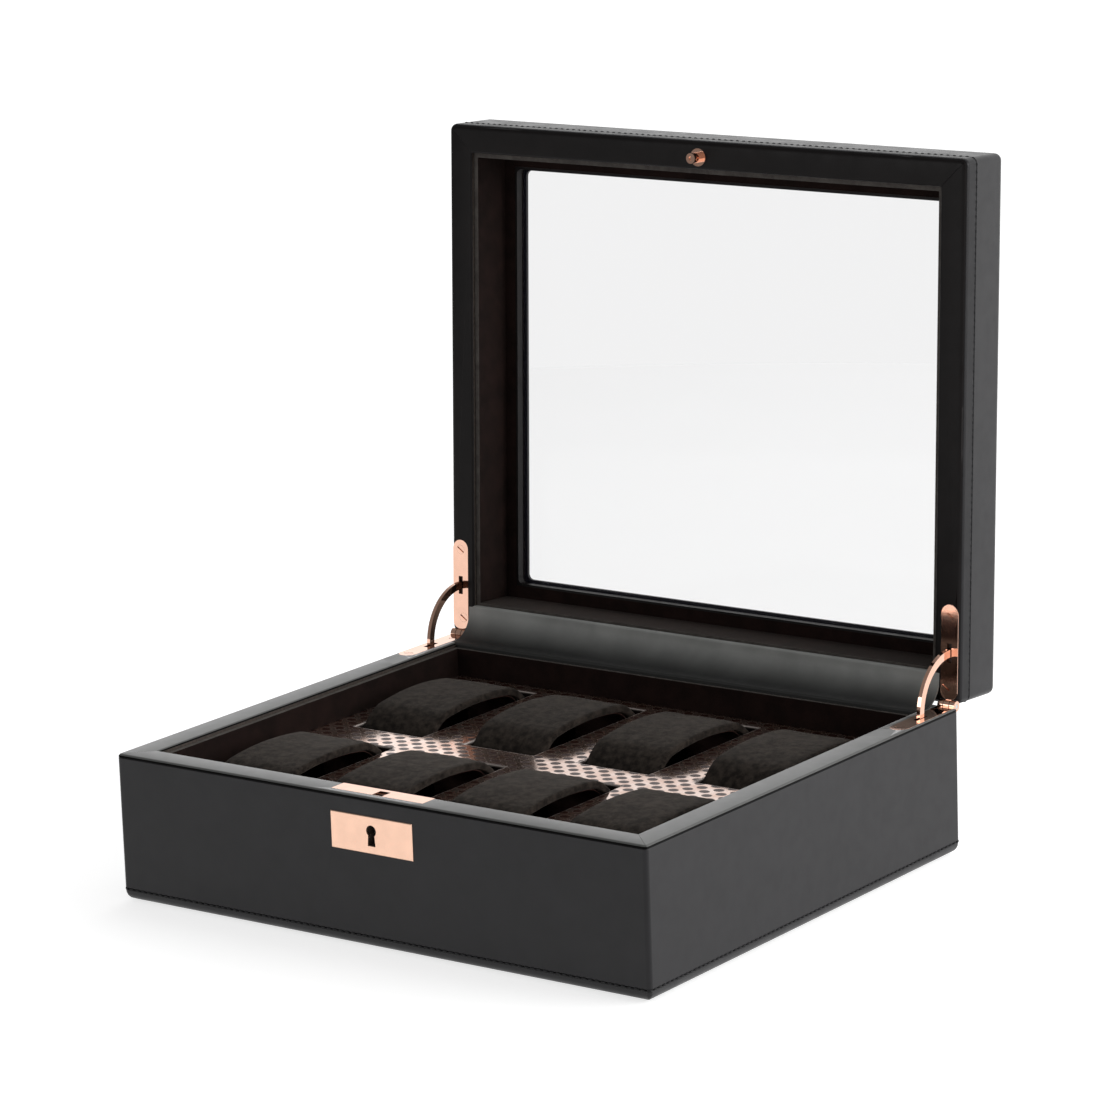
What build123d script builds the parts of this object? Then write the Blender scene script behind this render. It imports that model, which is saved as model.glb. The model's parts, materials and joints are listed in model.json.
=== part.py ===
from build123d import *

import math
import os

# Watch box: a leather-covered base with eight watch cuffs in a divided tray, and a glazed
# lid on two stay hinges. X runs to the right, Y to the back and Z up. The origin is the
# centre of the base's underside. All sizes are in mm. The lid stands open on its stays.

# --- Driving sizes --------------------------------------------------------------------
box_width = 260.0
box_depth = 224.0
base_height = 62.0
lid_height = 30.0
rim_width = 12.0
rim_gap = 0.4
open_angle = 93.0

leather = 1.0
foot_gap = 0.4
base_corner = 2.0
base_round = 4.5
lid_corner = 3.0
lid_round = 4.0
hem_height = 5.4
lid_band_height = 8.0
turn_under = 10.0
rear_recess = 0.8
mitre_gap = 0.1

bottom_thickness = 5.0
liner_thickness = 2.0
liner_drop = 2.3
floor_thickness = 1.0

tray_top = 47.6
tray_skin = 0.8
cell_width = 36.2
cell_depth = 81.5
cell_pitch = 57.6
long_divider = 18.0
columns = 4

cuff_width = 35.0
cuff_depth = 78.0
cuff_top = 55.5
cuff_gap = 0.4
cuff_padding = 3.0
cuff_spring = 1.2
cuff_slit = 12.0
cuff_crown = 5.0
cuff_corner = 17.0

window_border = 20.3
window_corner = 2.5
inner_frame_depth = 22.0
glass_depth = 25.6
glass_thickness = 2.0
glass_overlap = 4.3
fit_gap = 0.05

pivot_back = 0.4
leaf_x = 125.0
leaf_width = 8.0
leaf_length = 42.0
leaf_thickness = 1.6
leaf_end_gap = 2.4
leaf_end_corner = 3.0
knuckle_radius = 2.2
knuckle_gap = 0.3
mid_knuckle = 2.6
pin_radius = 0.9
stay_radius = 21.8
stay_width = 3.2
stay_thickness = 1.6
stay_head = 3.0
stay_pocket = 3.8
head_start = 6.0
head_sweep = 4.0
pocket_clearance = 0.35
slot_width = 2.2
slot_length = 8.0
screw_head = 2.0
screw_shank = 1.0
screw_length = 8.0
screw_slot = 0.6
front_screw = 4.3
rear_screw = 7.4
rear_screw_shift = 1.5

lock_y = -105.0
plate_width = 45.0
plate_depth = 8.0
plate_thickness = 1.1
plate_slot = (5.0, 5.6)
stud_disc = 3.75
stud_post = 2.2
stud_length = 5.4
stud_hole = 1.2
stud_hole_depth = 3.4
stud_recess = 0.9
stud_recess_depth = 0.6
case_size = (36.0, 6.0, 25.0)
case_sheet = 0.8
bolt_size = (9.0, 3.4, 3.4)
bolt_start = 6.2
bolt_tip_radius = 0.9
bolt_tip_length = 3.0
escutcheon_size = (40.0, 15.0)
escutcheon_bottom = 39.4
escutcheon_thickness = 1.0
escutcheon_proud = 0.4
keyhole_top = 51.0
keyhole_head = 2.4
keyhole_height = 8.5
keyhole_neck = 1.4
keyhole_foot = 1.9
key_pin = 0.7

gusset_thickness = 0.8
gusset_radius = 12.0
gusset_fold = 0.55
gusset_margin = 0.4

# --- Derived sizes and planes -----------------------------------------------------------
wall = rim_width - leather
board_bottom = foot_gap + leather
board_top = base_height - leather
cell_bottom = board_bottom + bottom_thickness + floor_thickness
inner_width = box_width - 2 * rim_width
inner_depth = box_depth - 2 * rim_width
lined_width = inner_width - 2 * liner_thickness
lined_depth = inner_depth - 2 * liner_thickness
window_width = box_width - 2 * window_border
window_depth = box_depth - 2 * window_border
row_y = (long_divider + cell_depth) / 2
column_xs = [cell_pitch * (n - (columns - 1) / 2) for n in range(columns)]

pivot_y = box_depth / 2 + pivot_back
pivot_z = base_height + rim_gap / 2
leaf_front = pivot_y - leaf_length
open_turn = math.radians(open_angle)


def swung(y, z):
    """Where a point of the closed lid stands once the lid is open, as (Y, Z)."""
    back = y - pivot_y
    up = z - pivot_z
    return (
        pivot_y + back * math.cos(open_turn) + up * math.sin(open_turn),
        pivot_z - back * math.sin(open_turn) + up * math.cos(open_turn),
    )


# A rim plane has X to the right and Y to the hinge side, with its normal from the base to
# the lid's top. The base lies behind its rim plane and the lid in front of its own.
base_rim = Plane.XY.offset(base_height)
lid_rim = Plane(
    origin=(0, *swung(0, base_height + rim_gap)),
    x_dir=(1, 0, 0),
    z_dir=(0, math.sin(open_turn), math.cos(open_turn)),
)
INTO_BASE = -1
INTO_LID = 1
LEFT_AND_RIGHT = (("left", -1), ("right", 1))


def across(rim, x):
    """A plane across a rim at x: its X runs to the hinge side, its Y along the rim's normal."""
    return Plane(origin=rim.from_local_coords((x, 0, 0)), x_dir=rim.y_dir, z_dir=rim.x_dir)


def write_piece(piece, name):
    """Labels a finished piece and writes it as its own STEP file."""
    piece.label = name
    export_step(piece, f"parts/{name}.step")


# --- Profiles and cuts that several pieces share ----------------------------------------


def base_block(inset):
    """The base's outer form, drawn in by inset, up to the top of its boards."""
    floor = foot_gap + inset
    with BuildPart() as block:
        with BuildSketch(Plane.XY.offset(floor)):
            RectangleRounded(box_width - 2 * inset, box_depth - 2 * inset, base_corner - inset)
        extrude(amount=board_top - floor)
        fillet(block.faces().sort_by(Axis.Z)[0].edges(), base_round - inset)
    return block.part


def lid_block(inset):
    """The lid's outer form, drawn in by inset, from the bottom of its boards to its top."""
    height = lid_height - inset - leather
    with BuildPart() as block:
        with BuildSketch(lid_rim.offset(leather)):
            RectangleRounded(box_width - 2 * inset, box_depth - 2 * inset, lid_corner - inset)
        extrude(amount=height)
        top = block.faces().sort_by(Axis(lid_rim.origin, lid_rim.z_dir))[-1]
        fillet(top.edges(), lid_round - inset)
    return block.part


def keep_slab(plane, height):
    """Keeps only what lies within height in front of a plane."""
    with BuildSketch(plane) as outline:
        Rectangle(2 * box_width, 2 * box_depth)
    extrude(outline.sketch, amount=height, mode=Mode.INTERSECT)


def keep_bar(plane, x, y, width, depth, height):
    """Keeps only what lies in a box that stands on a plane."""
    with BuildSketch(plane) as outline:
        with Locations((x, y)):
            Rectangle(width, depth)
    extrude(outline.sketch, amount=height, mode=Mode.INTERSECT)


def bar(plane, x, y, width, depth, height, mode=Mode.ADD):
    """A box that stands on a plane, centred at x and y."""
    with BuildSketch(plane) as outline:
        with Locations((x, y)):
            Rectangle(width, depth)
    extrude(outline.sketch, amount=height, mode=mode)


def cut_mitres(plane, height, corners):
    """Cuts the thin joints that part a frame's four bars at 45 degrees."""
    for right, back in corners:
        with BuildSketch(plane) as outline:
            with Locations((right * (box_width - 30) / 2, back * (box_depth - 30) / 2)):
                Rectangle(60, mitre_gap, rotation=45 * right * back)
        extrude(outline.sketch, amount=height, mode=Mode.SUBTRACT)


ALL_CORNERS = ((-1, -1), (1, -1), (-1, 1), (1, 1))
FRONT_CORNERS = ((-1, -1), (1, -1))


def frame_ring(plane, outer, inner, height, inner_corner=0.0):
    """A flat frame of four mitred bars: outer and inner are its (width, depth)."""
    with BuildSketch(plane) as outline:
        Rectangle(*outer)
        if inner_corner:
            RectangleRounded(*inner, inner_corner, mode=Mode.SUBTRACT)
        else:
            Rectangle(*inner, mode=Mode.SUBTRACT)
    extrude(outline.sketch, amount=height)


def ring_sector(centre, inner, outer, start, sweep):
    """The face between two arcs about one centre."""
    with BuildLine() as edges:
        far = CenterArc(centre, outer, start, sweep)
        near = CenterArc(centre, inner, start, sweep)
        Line(far @ 0, near @ 0)
        Line(far @ 1, near @ 1)
    make_face(edges.edges())


def hinge_centre(into):
    """The hinge axis as (Y, normal) in the across plane of a rim."""
    return (pivot_y, -into * rim_gap / 2)


def leaf_outline(x, spans):
    """Plan of a hinge leaf: a plate with round ends and a neck to each (start, width) knuckle."""
    front = leaf_front + leaf_width / 2
    corner_y = pivot_y - leaf_end_gap - leaf_end_corner
    with Locations((x, front)):
        Circle(leaf_width / 2)
    with Locations((x, (front + corner_y) / 2)):
        Rectangle(leaf_width, corner_y - front)
    with Locations((x, corner_y)):
        RectangleRounded(leaf_width, 2 * leaf_end_corner, leaf_end_corner - fit_gap)
    for start, width in spans:
        with Locations((x + start + width / 2, (corner_y + pivot_y) / 2)):
            Rectangle(width, pivot_y - corner_y)


def screw_places(side):
    """Where a leaf's two screws stand, as (X, Y) on the rim."""
    return (
        (side * leaf_x, leaf_front + front_screw),
        (side * (leaf_x - rear_screw_shift), pivot_y - rear_screw),
    )


def cut_hinge_seat(rim, into, side):
    """Cuts the seat of one leaf, its stay, knuckle and screws into the piece being made."""
    x = side * leaf_x
    with BuildSketch(rim.offset(-into)) as outline:
        leaf_outline(x, LID_KNUCKLES if into > 0 else BASE_KNUCKLES)
    extrude(outline.sketch, amount=into * (1 + leaf_thickness), mode=Mode.SUBTRACT)
    with BuildSketch(across(rim, x - leaf_width / 2 - knuckle_gap)) as outline:
        with Locations(hinge_centre(into)):
            Circle(knuckle_radius + knuckle_gap)
    extrude(outline.sketch, amount=leaf_width + 2 * knuckle_gap, mode=Mode.SUBTRACT)
    reach = open_angle / 2 + head_start + head_sweep + 2
    with BuildSketch(across(rim, x - stay_pocket / 2)) as outline:
        ring_sector(
            hinge_centre(into),
            stay_radius - stay_width / 2 - pocket_clearance,
            stay_radius + stay_width / 2 + pocket_clearance,
            180 if into > 0 else 180 + reach,
            -reach,
        )
    extrude(outline.sketch, amount=stay_pocket, mode=Mode.SUBTRACT)
    with BuildSketch(rim) as outline:
        with Locations(*screw_places(side)):
            Circle(screw_shank + fit_gap)
    extrude(outline.sketch, amount=into * (screw_length + 0.3), mode=Mode.SUBTRACT)


# --- Hinges -----------------------------------------------------------------------------


def screw_body(rim, into, x, y, grow):
    """A countersunk screw, or with grow the hole for it, at a place on a rim."""
    side_plane = across(rim, x)
    with BuildSketch(side_plane) as outline:
        with BuildLine() as edges:
            Polyline(
                (y, 0),
                (y + screw_head + grow, 0),
                (y + screw_shank + grow, into * (screw_head - screw_shank)),
                (y + screw_shank + grow, into * (screw_length + grow)),
                (y, into * (screw_length + grow)),
                close=True,
            )
        make_face(edges.edges())
    axis = Axis(side_plane.from_local_coords((y, 0, 0)), rim.z_dir)
    revolve(outline.sketch, axis=axis, mode=Mode.SUBTRACT if grow else Mode.ADD)


def knuckles(rim, into, x, spans, radius, mode):
    """Cylinders round the hinge axis, one for each (start, width) across the leaf."""
    for start, width in spans:
        with BuildSketch(across(rim, x + start)) as outline:
            with Locations(hinge_centre(into)):
                Circle(radius)
        extrude(outline.sketch, amount=width, mode=mode)


outer_knuckle = leaf_width / 2 - mid_knuckle / 2 - knuckle_gap
BASE_KNUCKLES = (
    (-leaf_width / 2, outer_knuckle),
    (leaf_width / 2 - outer_knuckle, outer_knuckle),
)
LID_KNUCKLES = ((-mid_knuckle / 2, mid_knuckle),)


def hinge_leaf(rim, into, side, own, other):
    """One leaf with its knuckles, the slot that its stay slides through and two screw holes."""
    x = side * leaf_x
    wider = [(start - knuckle_gap, width + 2 * knuckle_gap) for start, width in other]
    with BuildPart() as leaf:
        with BuildSketch(rim):
            leaf_outline(x, own)
            with Locations((x, pivot_y - stay_radius)):
                Rectangle(slot_width, slot_length, mode=Mode.SUBTRACT)
        extrude(amount=into * leaf_thickness)
        knuckles(rim, into, x, wider, knuckle_radius + knuckle_gap, Mode.SUBTRACT)
        knuckles(rim, into, x, own, knuckle_radius, Mode.ADD)
        whole = [(-leaf_width, 2 * leaf_width)]
        knuckles(rim, into, x, whole, pin_radius + fit_gap, Mode.SUBTRACT)
        for place in screw_places(side):
            screw_body(rim, into, *place, fit_gap)
    return leaf.part


def hinge_screws(rim, into):
    """The four screws that hold one pair of leaves, each with a slotted head."""
    with BuildPart() as screws:
        for _, side in LEFT_AND_RIGHT:
            for x, y in screw_places(side):
                screw_body(rim, into, x, y, 0)
        for _, side in LEFT_AND_RIGHT:
            for x, y in screw_places(side):
                with BuildSketch(rim):
                    with Locations((x, y)):
                        Rectangle(2 * screw_head, screw_slot, rotation=35)
                extrude(amount=into * screw_slot, mode=Mode.SUBTRACT)
    return screws.part


def hinge_pin(side):
    """The pin through one hinge's knuckles."""
    with BuildPart() as pin:
        with BuildSketch(Plane.YZ.offset(side * leaf_x - leaf_width / 2)):
            with Locations((pivot_y, pivot_z)):
                Circle(pin_radius)
        extrude(amount=leaf_width)
    return pin.part


def stay_arm(side):
    """The curved stay, an arc about the hinge axis, with a stop head inside each leaf."""
    x = side * leaf_x
    centre = (pivot_y, pivot_z)
    inner = stay_radius - stay_width / 2
    outer = stay_radius + stay_width / 2
    end = head_start + head_sweep
    with BuildPart() as arm:
        with BuildSketch(Plane.YZ.offset(x - stay_thickness / 2)):
            ring_sector(centre, inner, outer, 180 - open_angle - end, open_angle + 2 * end)
        extrude(amount=stay_thickness)
        for start in (180 + head_start, 180 - open_angle - end):
            with BuildSketch(Plane.YZ.offset(x - stay_head / 2)):
                ring_sector(centre, inner, outer, start, head_sweep)
            extrude(amount=stay_head)
    return arm.part


def write_hinges():
    """Writes both hinges: leaves, pins, screws and stays."""
    for name, side in LEFT_AND_RIGHT:
        base_leaf = hinge_leaf(base_rim, INTO_BASE, side, BASE_KNUCKLES, LID_KNUCKLES)
        write_piece(base_leaf, f"hinge_base_leaf_{name}")
        lid_leaf = hinge_leaf(lid_rim, INTO_LID, side, LID_KNUCKLES, BASE_KNUCKLES)
        write_piece(lid_leaf, f"hinge_lid_leaf_{name}")
        write_piece(hinge_pin(side), f"hinge_pin_{name}")
        write_piece(stay_arm(side), f"stay_arm_{name}")
    write_piece(hinge_screws(base_rim, INTO_BASE), "base_hinge_screws")
    write_piece(hinge_screws(lid_rim, INTO_LID), "lid_hinge_screws")


# --- Lock ---------------------------------------------------------------------------------


def keyhole():
    """A keyhole on a plane that faces the front: a round head over a flared foot."""
    head_z = keyhole_top - keyhole_head
    foot_z = keyhole_top - keyhole_height
    with Locations((0, head_z)):
        Circle(keyhole_head)
    with BuildLine() as edges:
        Polyline(
            (-keyhole_neck, head_z),
            (keyhole_neck, head_z),
            (keyhole_foot, foot_z),
            (-keyhole_foot, foot_z),
            close=True,
        )
    make_face(edges.edges())


def front_plane(y):
    """A plane that faces the front at y, with X to the right and Y up."""
    return Plane(origin=(0, y, 0), x_dir=(1, 0, 0), z_dir=(0, -1, 0))


def cut_keyhole():
    """Cuts the keyhole from the front surface in to the lock's case."""
    with BuildSketch(front_plane(lock_y - case_size[1] / 2 + case_sheet + fit_gap)) as outline:
        keyhole()
    extrude(outline.sketch, amount=rim_width, mode=Mode.SUBTRACT)


case_top = base_height - plate_thickness - fit_gap
case_bottom = case_top - case_size[2]
stud_hole_z = base_height + rim_gap - stud_hole_depth


def cut_lock_seat():
    """Cuts the seats of the lock's case and top plate into the piece being made."""
    grow = 2 * fit_gap
    bar(
        Plane.XY.offset(case_bottom - fit_gap),
        0,
        lock_y,
        case_size[0] + grow,
        case_size[1] + grow,
        base_height - case_bottom + 1,
        Mode.SUBTRACT,
    )
    plate_y = -inner_depth / 2 - plate_depth / 2
    seat = Plane.XY.offset(base_height - plate_thickness - fit_gap)
    bar(seat, 0, plate_y, plate_width + grow, plate_depth + grow, 5, Mode.SUBTRACT)


def write_lock():
    """Writes the lock: case, top plate, escutcheon, bolt and the lid's stud."""
    inside = (case_size[0] - 2 * case_sheet, case_size[1] - 2 * case_sheet)
    with BuildPart() as case:
        bar(Plane.XY.offset(case_bottom), 0, lock_y, *case_size)
        bar(Plane.XY.offset(case_bottom + case_sheet), 0, lock_y, *inside, 30, Mode.SUBTRACT)
        with BuildSketch(front_plane(lock_y + case_size[1] / 2)):
            with Locations((0, keyhole_top - keyhole_head)):
                Circle(key_pin)
        extrude(amount=case_size[1])
        cut_front_keyhole()
    write_piece(case.part, "lock_case")

    with BuildPart() as top_plate:
        plate_y = -inner_depth / 2 - plate_depth / 2
        plane = Plane.XY.offset(base_height - plate_thickness)
        bar(plane, 0, plate_y, plate_width, plate_depth, plate_thickness)
        bar(plane, 0, lock_y, *plate_slot, plate_thickness, Mode.SUBTRACT)
    write_piece(top_plate.part, "lock_top_plate")

    with BuildPart() as escutcheon:
        face_y = -box_depth / 2 - escutcheon_proud
        with BuildSketch(front_plane(face_y + escutcheon_thickness)):
            with Locations((0, escutcheon_bottom + escutcheon_size[1] / 2)):
                Rectangle(*escutcheon_size)
        extrude(amount=escutcheon_thickness)
        chamfer(escutcheon.faces().sort_by(Axis.Y)[0].edges(), 0.25)
        with BuildSketch(front_plane(face_y + escutcheon_thickness)):
            keyhole()
        extrude(amount=escutcheon_thickness, mode=Mode.SUBTRACT)
    write_piece(escutcheon.part, "lock_escutcheon")

    with BuildPart() as bolt:
        bolt_bottom = stud_hole_z - bolt_size[2] / 2
        bolt_x = bolt_start + bolt_size[0] / 2
        bar(Plane.XY.offset(bolt_bottom), bolt_x, lock_y, *bolt_size)
        with BuildSketch(Plane.YZ.offset(bolt_start - bolt_tip_length)):
            with Locations((lock_y, stud_hole_z)):
                Circle(bolt_tip_radius)
        extrude(amount=bolt_tip_length)
    write_piece(bolt.part, "lock_bolt")

    with BuildPart() as stud:
        with BuildSketch(lid_rim):
            with Locations((0, lock_y)):
                Circle(stud_disc)
        extrude(amount=leather)
        with BuildSketch(lid_rim.offset(leather)):
            with Locations((0, lock_y)):
                Circle(screw_shank)
        extrude(amount=screw_length - leather)
        with BuildSketch(lid_rim):
            with Locations((0, lock_y)):
                Circle(stud_post)
        extrude(amount=-stud_length)
        with BuildSketch(lid_rim.offset(-stud_length)):
            with Locations((0, lock_y)):
                Circle(stud_recess)
        extrude(amount=stud_recess_depth, mode=Mode.SUBTRACT)
        with BuildSketch(across(lid_rim, -stud_disc)):
            with Locations((lock_y, -stud_hole_depth)):
                Circle(stud_hole)
        extrude(amount=2 * stud_disc, mode=Mode.SUBTRACT)
    write_piece(stud.part, "lock_stud")


def cut_front_keyhole():
    """Cuts the keyhole through the case's front sheet, round its key pin."""
    with BuildSketch(front_plane(lock_y - case_size[1] / 2 + case_sheet)) as outline:
        keyhole()
        with Locations((0, keyhole_top - keyhole_head)):
            Circle(key_pin, mode=Mode.SUBTRACT)
    extrude(outline.sketch, amount=case_sheet, mode=Mode.SUBTRACT)


# --- Base -----------------------------------------------------------------------------------


def write_base_walls():
    """Writes the base's four boards and its bottom panel."""
    boards = base_block(leather)
    for name, side in LEFT_AND_RIGHT:
        with BuildPart() as side_wall:
            add(boards)
            x = side * (box_width / 2 - leather - wall / 2)
            keep_bar(Plane.XY, x, 0, wall, box_depth, base_height)
            cut_hinge_seat(base_rim, INTO_BASE, side)
        write_piece(side_wall.part, f"base_wall_{name}")

    with BuildPart() as front_wall:
        add(boards)
        y = -box_depth / 2 + leather + wall / 2
        keep_bar(Plane.XY, 0, y, inner_width, wall, base_height)
        cut_lock_seat()
        cut_keyhole()
    write_piece(front_wall.part, "base_wall_front")

    with BuildPart() as back_wall:
        add(boards)
        y = box_depth / 2 - leather - wall / 2
        keep_bar(Plane.XY, 0, y, inner_width, wall, board_top - rear_recess)
    write_piece(back_wall.part, "base_wall_back")

    with BuildPart() as bottom_panel:
        bar(Plane.XY.offset(board_bottom), 0, 0, inner_width, inner_depth, bottom_thickness)
    write_piece(bottom_panel.part, "base_bottom_panel")

    with BuildPart() as felt:
        width = box_width - 2 * turn_under - 1
        depth = box_depth - 2 * turn_under - 1
        bar(Plane.XY, 0, 0, width, depth, board_bottom)
    write_piece(felt.part, "base_underside_felt")


def write_base_leather():
    """Writes the base's leather: the sides, the turned-under hem and the rim facing."""
    outside = base_block(0)
    boards = base_block(leather)
    with BuildPart() as sides:
        add(outside)
        add(boards, mode=Mode.SUBTRACT)
        keep_slab(Plane.XY.offset(hem_height), base_height)
        cut_keyhole()
        for _, side in LEFT_AND_RIGHT:
            cut_hinge_seat(base_rim, INTO_BASE, side)
        face_y = -box_depth / 2 - escutcheon_proud
        with BuildSketch(front_plane(face_y + escutcheon_thickness + fit_gap)):
            with Locations((0, escutcheon_bottom + escutcheon_size[1] / 2)):
                Rectangle(escutcheon_size[0] + 2 * fit_gap, escutcheon_size[1] + 2 * fit_gap)
        extrude(amount=escutcheon_thickness + 1, mode=Mode.SUBTRACT)
    write_piece(sides.part, "base_leather_sides")

    with BuildPart() as hem:
        add(outside)
        add(boards, mode=Mode.SUBTRACT)
        keep_slab(Plane.XY, hem_height)
        width = box_width - 2 * turn_under
        depth = box_depth - 2 * turn_under
        bar(Plane.XY, 0, 0, width, depth, board_bottom, Mode.SUBTRACT)
    write_piece(hem.part, "base_leather_hem")

    with BuildPart() as facing:
        rim_facing(base_rim, INTO_BASE, base_corner)
        cut_lock_seat()
    write_piece(facing.part, "base_rim_facing")


def rim_facing(rim, into, corner):
    """The leather on a rim: mitred at the front corners, let down along the hinge side."""
    with BuildSketch(rim) as outline:
        RectangleRounded(box_width, box_depth, corner)
        Rectangle(inner_width, inner_depth, mode=Mode.SUBTRACT)
    extrude(outline.sketch, amount=into * leather)
    rear_y = (inner_depth + rim_width) / 2
    rear_width = inner_width + 2 * mitre_gap
    bar(rim, 0, rear_y, rear_width, rim_width + 0.1, into * leather, Mode.SUBTRACT)
    cut_mitres(rim, into * leather, FRONT_CORNERS)
    for _, side in LEFT_AND_RIGHT:
        cut_hinge_seat(rim, into, side)
    low = rim.offset(into * rear_recess)
    bar(low, 0, rear_y - leather / 2, inner_width, wall, into * leather)


def liner_panels(plane, height):
    """Four lining boards that stand round the inside of the rim."""
    for side in (-1, 1):
        y = side * (inner_depth - liner_thickness) / 2
        bar(plane, 0, y, inner_width, liner_thickness, height)
        x = side * (inner_width - liner_thickness) / 2
        bar(plane, x, 0, liner_thickness, lined_depth - 2 * mitre_gap, height)


def write_base_lining():
    """Writes the lining boards and the floor lining."""
    floor = board_bottom + bottom_thickness
    with BuildPart() as liner:
        liner_panels(Plane.XY.offset(floor), base_height - liner_drop - floor)
    write_piece(liner.part, "base_liner_panels")

    with BuildPart() as floor_liner:
        bar(Plane.XY.offset(floor), 0, 0, lined_width, lined_depth, floor_thickness)
    write_piece(floor_liner.part, "base_floor_liner")


def write_tray():
    """Writes the divided tray: border, dividers and the patterned top panel."""
    height = tray_top - tray_skin - cell_bottom
    plane = Plane.XY.offset(cell_bottom)
    cells_width = columns * cell_pitch - (cell_pitch - cell_width)
    cells_depth = long_divider + 2 * cell_depth
    end_border = (lined_width - cells_width) / 2
    row_border = (lined_depth - cells_depth) / 2
    with BuildPart() as border:
        for side in (-1, 1):
            y = side * (lined_depth - row_border) / 2
            bar(plane, 0, y, lined_width, row_border, height)
            x = side * (lined_width - end_border) / 2
            bar(plane, x, 0, end_border, cells_depth - 2 * mitre_gap, height)
    write_piece(border.part, "tray_border")

    with BuildPart() as long_bar:
        bar(plane, 0, 0, cells_width, long_divider, height)
    write_piece(long_bar.part, "tray_divider_long")

    with BuildPart() as cross_bars:
        for row in (-1, 1):
            for left, right in zip(column_xs, column_xs[1:]):
                x = (left + right) / 2
                width = cell_pitch - cell_width
                bar(plane, x, row * row_y, width, cell_depth, height)
    write_piece(cross_bars.part, "tray_dividers_cross")

    with BuildPart() as top_panel:
        skin = Plane.XY.offset(tray_top - tray_skin)
        bar(skin, 0, 0, lined_width, lined_depth, tray_skin)
        for row in (-1, 1):
            for x in column_xs:
                bar(skin, x, row * row_y, cell_width, cell_depth, tray_skin, Mode.SUBTRACT)
    write_piece(top_panel.part, "tray_top_panel")


# --- Cuffs ------------------------------------------------------------------------------------


def cuff_profile(y, inset):
    """A cuff's outline across the box: crowned above and below, with round corners."""
    half = cuff_depth / 2 - inset
    top = cuff_top - inset
    bottom = cell_bottom + cuff_gap + inset
    with BuildLine() as edges:
        crown = ThreePointArc((y - half, top - cuff_crown), (y, top), (y + half, top - cuff_crown))
        belly_z = bottom + cuff_crown
        belly = ThreePointArc((y - half, belly_z), (y, bottom), (y + half, belly_z))
        Line(crown @ 0, belly @ 0)
        Line(crown @ 1, belly @ 1)
    face = make_face(edges.edges())
    return fillet(face.vertices(), cuff_corner - inset)


def cuff_layer(x, y, outer, inner):
    """One layer of a cuff, a C between two insets, open along its underside."""
    with BuildPart() as layer:
        with BuildSketch(Plane.YZ.offset(x - cuff_width / 2)):
            cuff_profile(y, outer)
        extrude(amount=cuff_width)
        hollow = cuff_hollow(x, y, inner)
        add(hollow, mode=Mode.SUBTRACT)
        slit = Plane.XY.offset(cell_bottom)
        bar(slit, x, y, cuff_width + 1, cuff_slit, cuff_top / 3, Mode.SUBTRACT)
    return layer.part


def cuff_hollow(x, y, inset):
    """The space inside a cuff's layer."""
    with BuildPart() as hollow:
        with BuildSketch(Plane.YZ.offset(x - cuff_width / 2)):
            cuff_profile(y, inset)
        extrude(amount=cuff_width)
    return hollow.part


def write_cuffs():
    """Writes the eight cuffs: a padded cushion round a sprung core, front row first."""
    number = 0
    for row in (-1, 1):
        for x in column_xs:
            number += 1
            cushion = cuff_layer(x, row * row_y, 0, cuff_padding)
            write_piece(cushion, f"cuff_{number}_cushion")
            core = cuff_layer(x, row * row_y, cuff_padding, cuff_padding + cuff_spring)
            write_piece(core, f"cuff_{number}_core")


# --- Lid --------------------------------------------------------------------------------------


def write_lid_boards():
    """Writes the lid's four boards, its top frame, its inner frame and the glass."""
    boards = lid_block(leather)
    start = lid_rim.offset(leather)
    depth = glass_depth - leather
    for name, side in LEFT_AND_RIGHT:
        with BuildPart() as side_wall:
            add(boards)
            x = side * (box_width / 2 - leather - wall / 2)
            keep_bar(start, x, 0, wall, box_depth, depth)
            cut_hinge_seat(lid_rim, INTO_LID, side)
        write_piece(side_wall.part, f"lid_wall_{name}")

    y = box_depth / 2 - leather - wall / 2
    with BuildPart() as front_wall:
        add(boards)
        keep_bar(start, 0, -y, inner_width, wall, depth)
        with BuildSketch(lid_rim):
            with Locations((0, lock_y)):
                Circle(screw_shank + fit_gap)
        extrude(amount=screw_length + fit_gap, mode=Mode.SUBTRACT)
    write_piece(front_wall.part, "lid_wall_front")

    with BuildPart() as back_wall:
        add(boards)
        keep_bar(start.offset(rear_recess), 0, y, inner_width, wall, depth - rear_recess)
    write_piece(back_wall.part, "lid_wall_back")

    glass = (window_width + 2 * glass_overlap, window_depth + 2 * glass_overlap)
    opening = (window_width + 2 * leather, window_depth + 2 * leather)
    with BuildPart() as top_frame:
        add(boards)
        keep_slab(lid_rim.offset(glass_depth), lid_height)
        bar(lid_rim.offset(glass_depth), 0, 0, *opening, lid_height, Mode.SUBTRACT)
        rebate = (glass[0] + 2 * fit_gap, glass[1] + 2 * fit_gap)
        bar(lid_rim.offset(glass_depth), 0, 0, *rebate, glass_thickness + fit_gap, Mode.SUBTRACT)
        cut_mitres(lid_rim.offset(glass_depth), lid_height, ALL_CORNERS)
    write_piece(top_frame.part, "lid_top_frame")

    with BuildPart() as pane:
        bar(lid_rim.offset(glass_depth), 0, 0, *glass, glass_thickness)
    write_piece(pane.part, "lid_glass")

    with BuildPart() as inner_frame:
        height = glass_depth - inner_frame_depth
        plane = lid_rim.offset(inner_frame_depth)
        frame_ring(plane, (inner_width, inner_depth), opening, height)
        cut_mitres(plane, height, ALL_CORNERS)
    write_piece(inner_frame.part, "lid_inner_frame")


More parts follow.
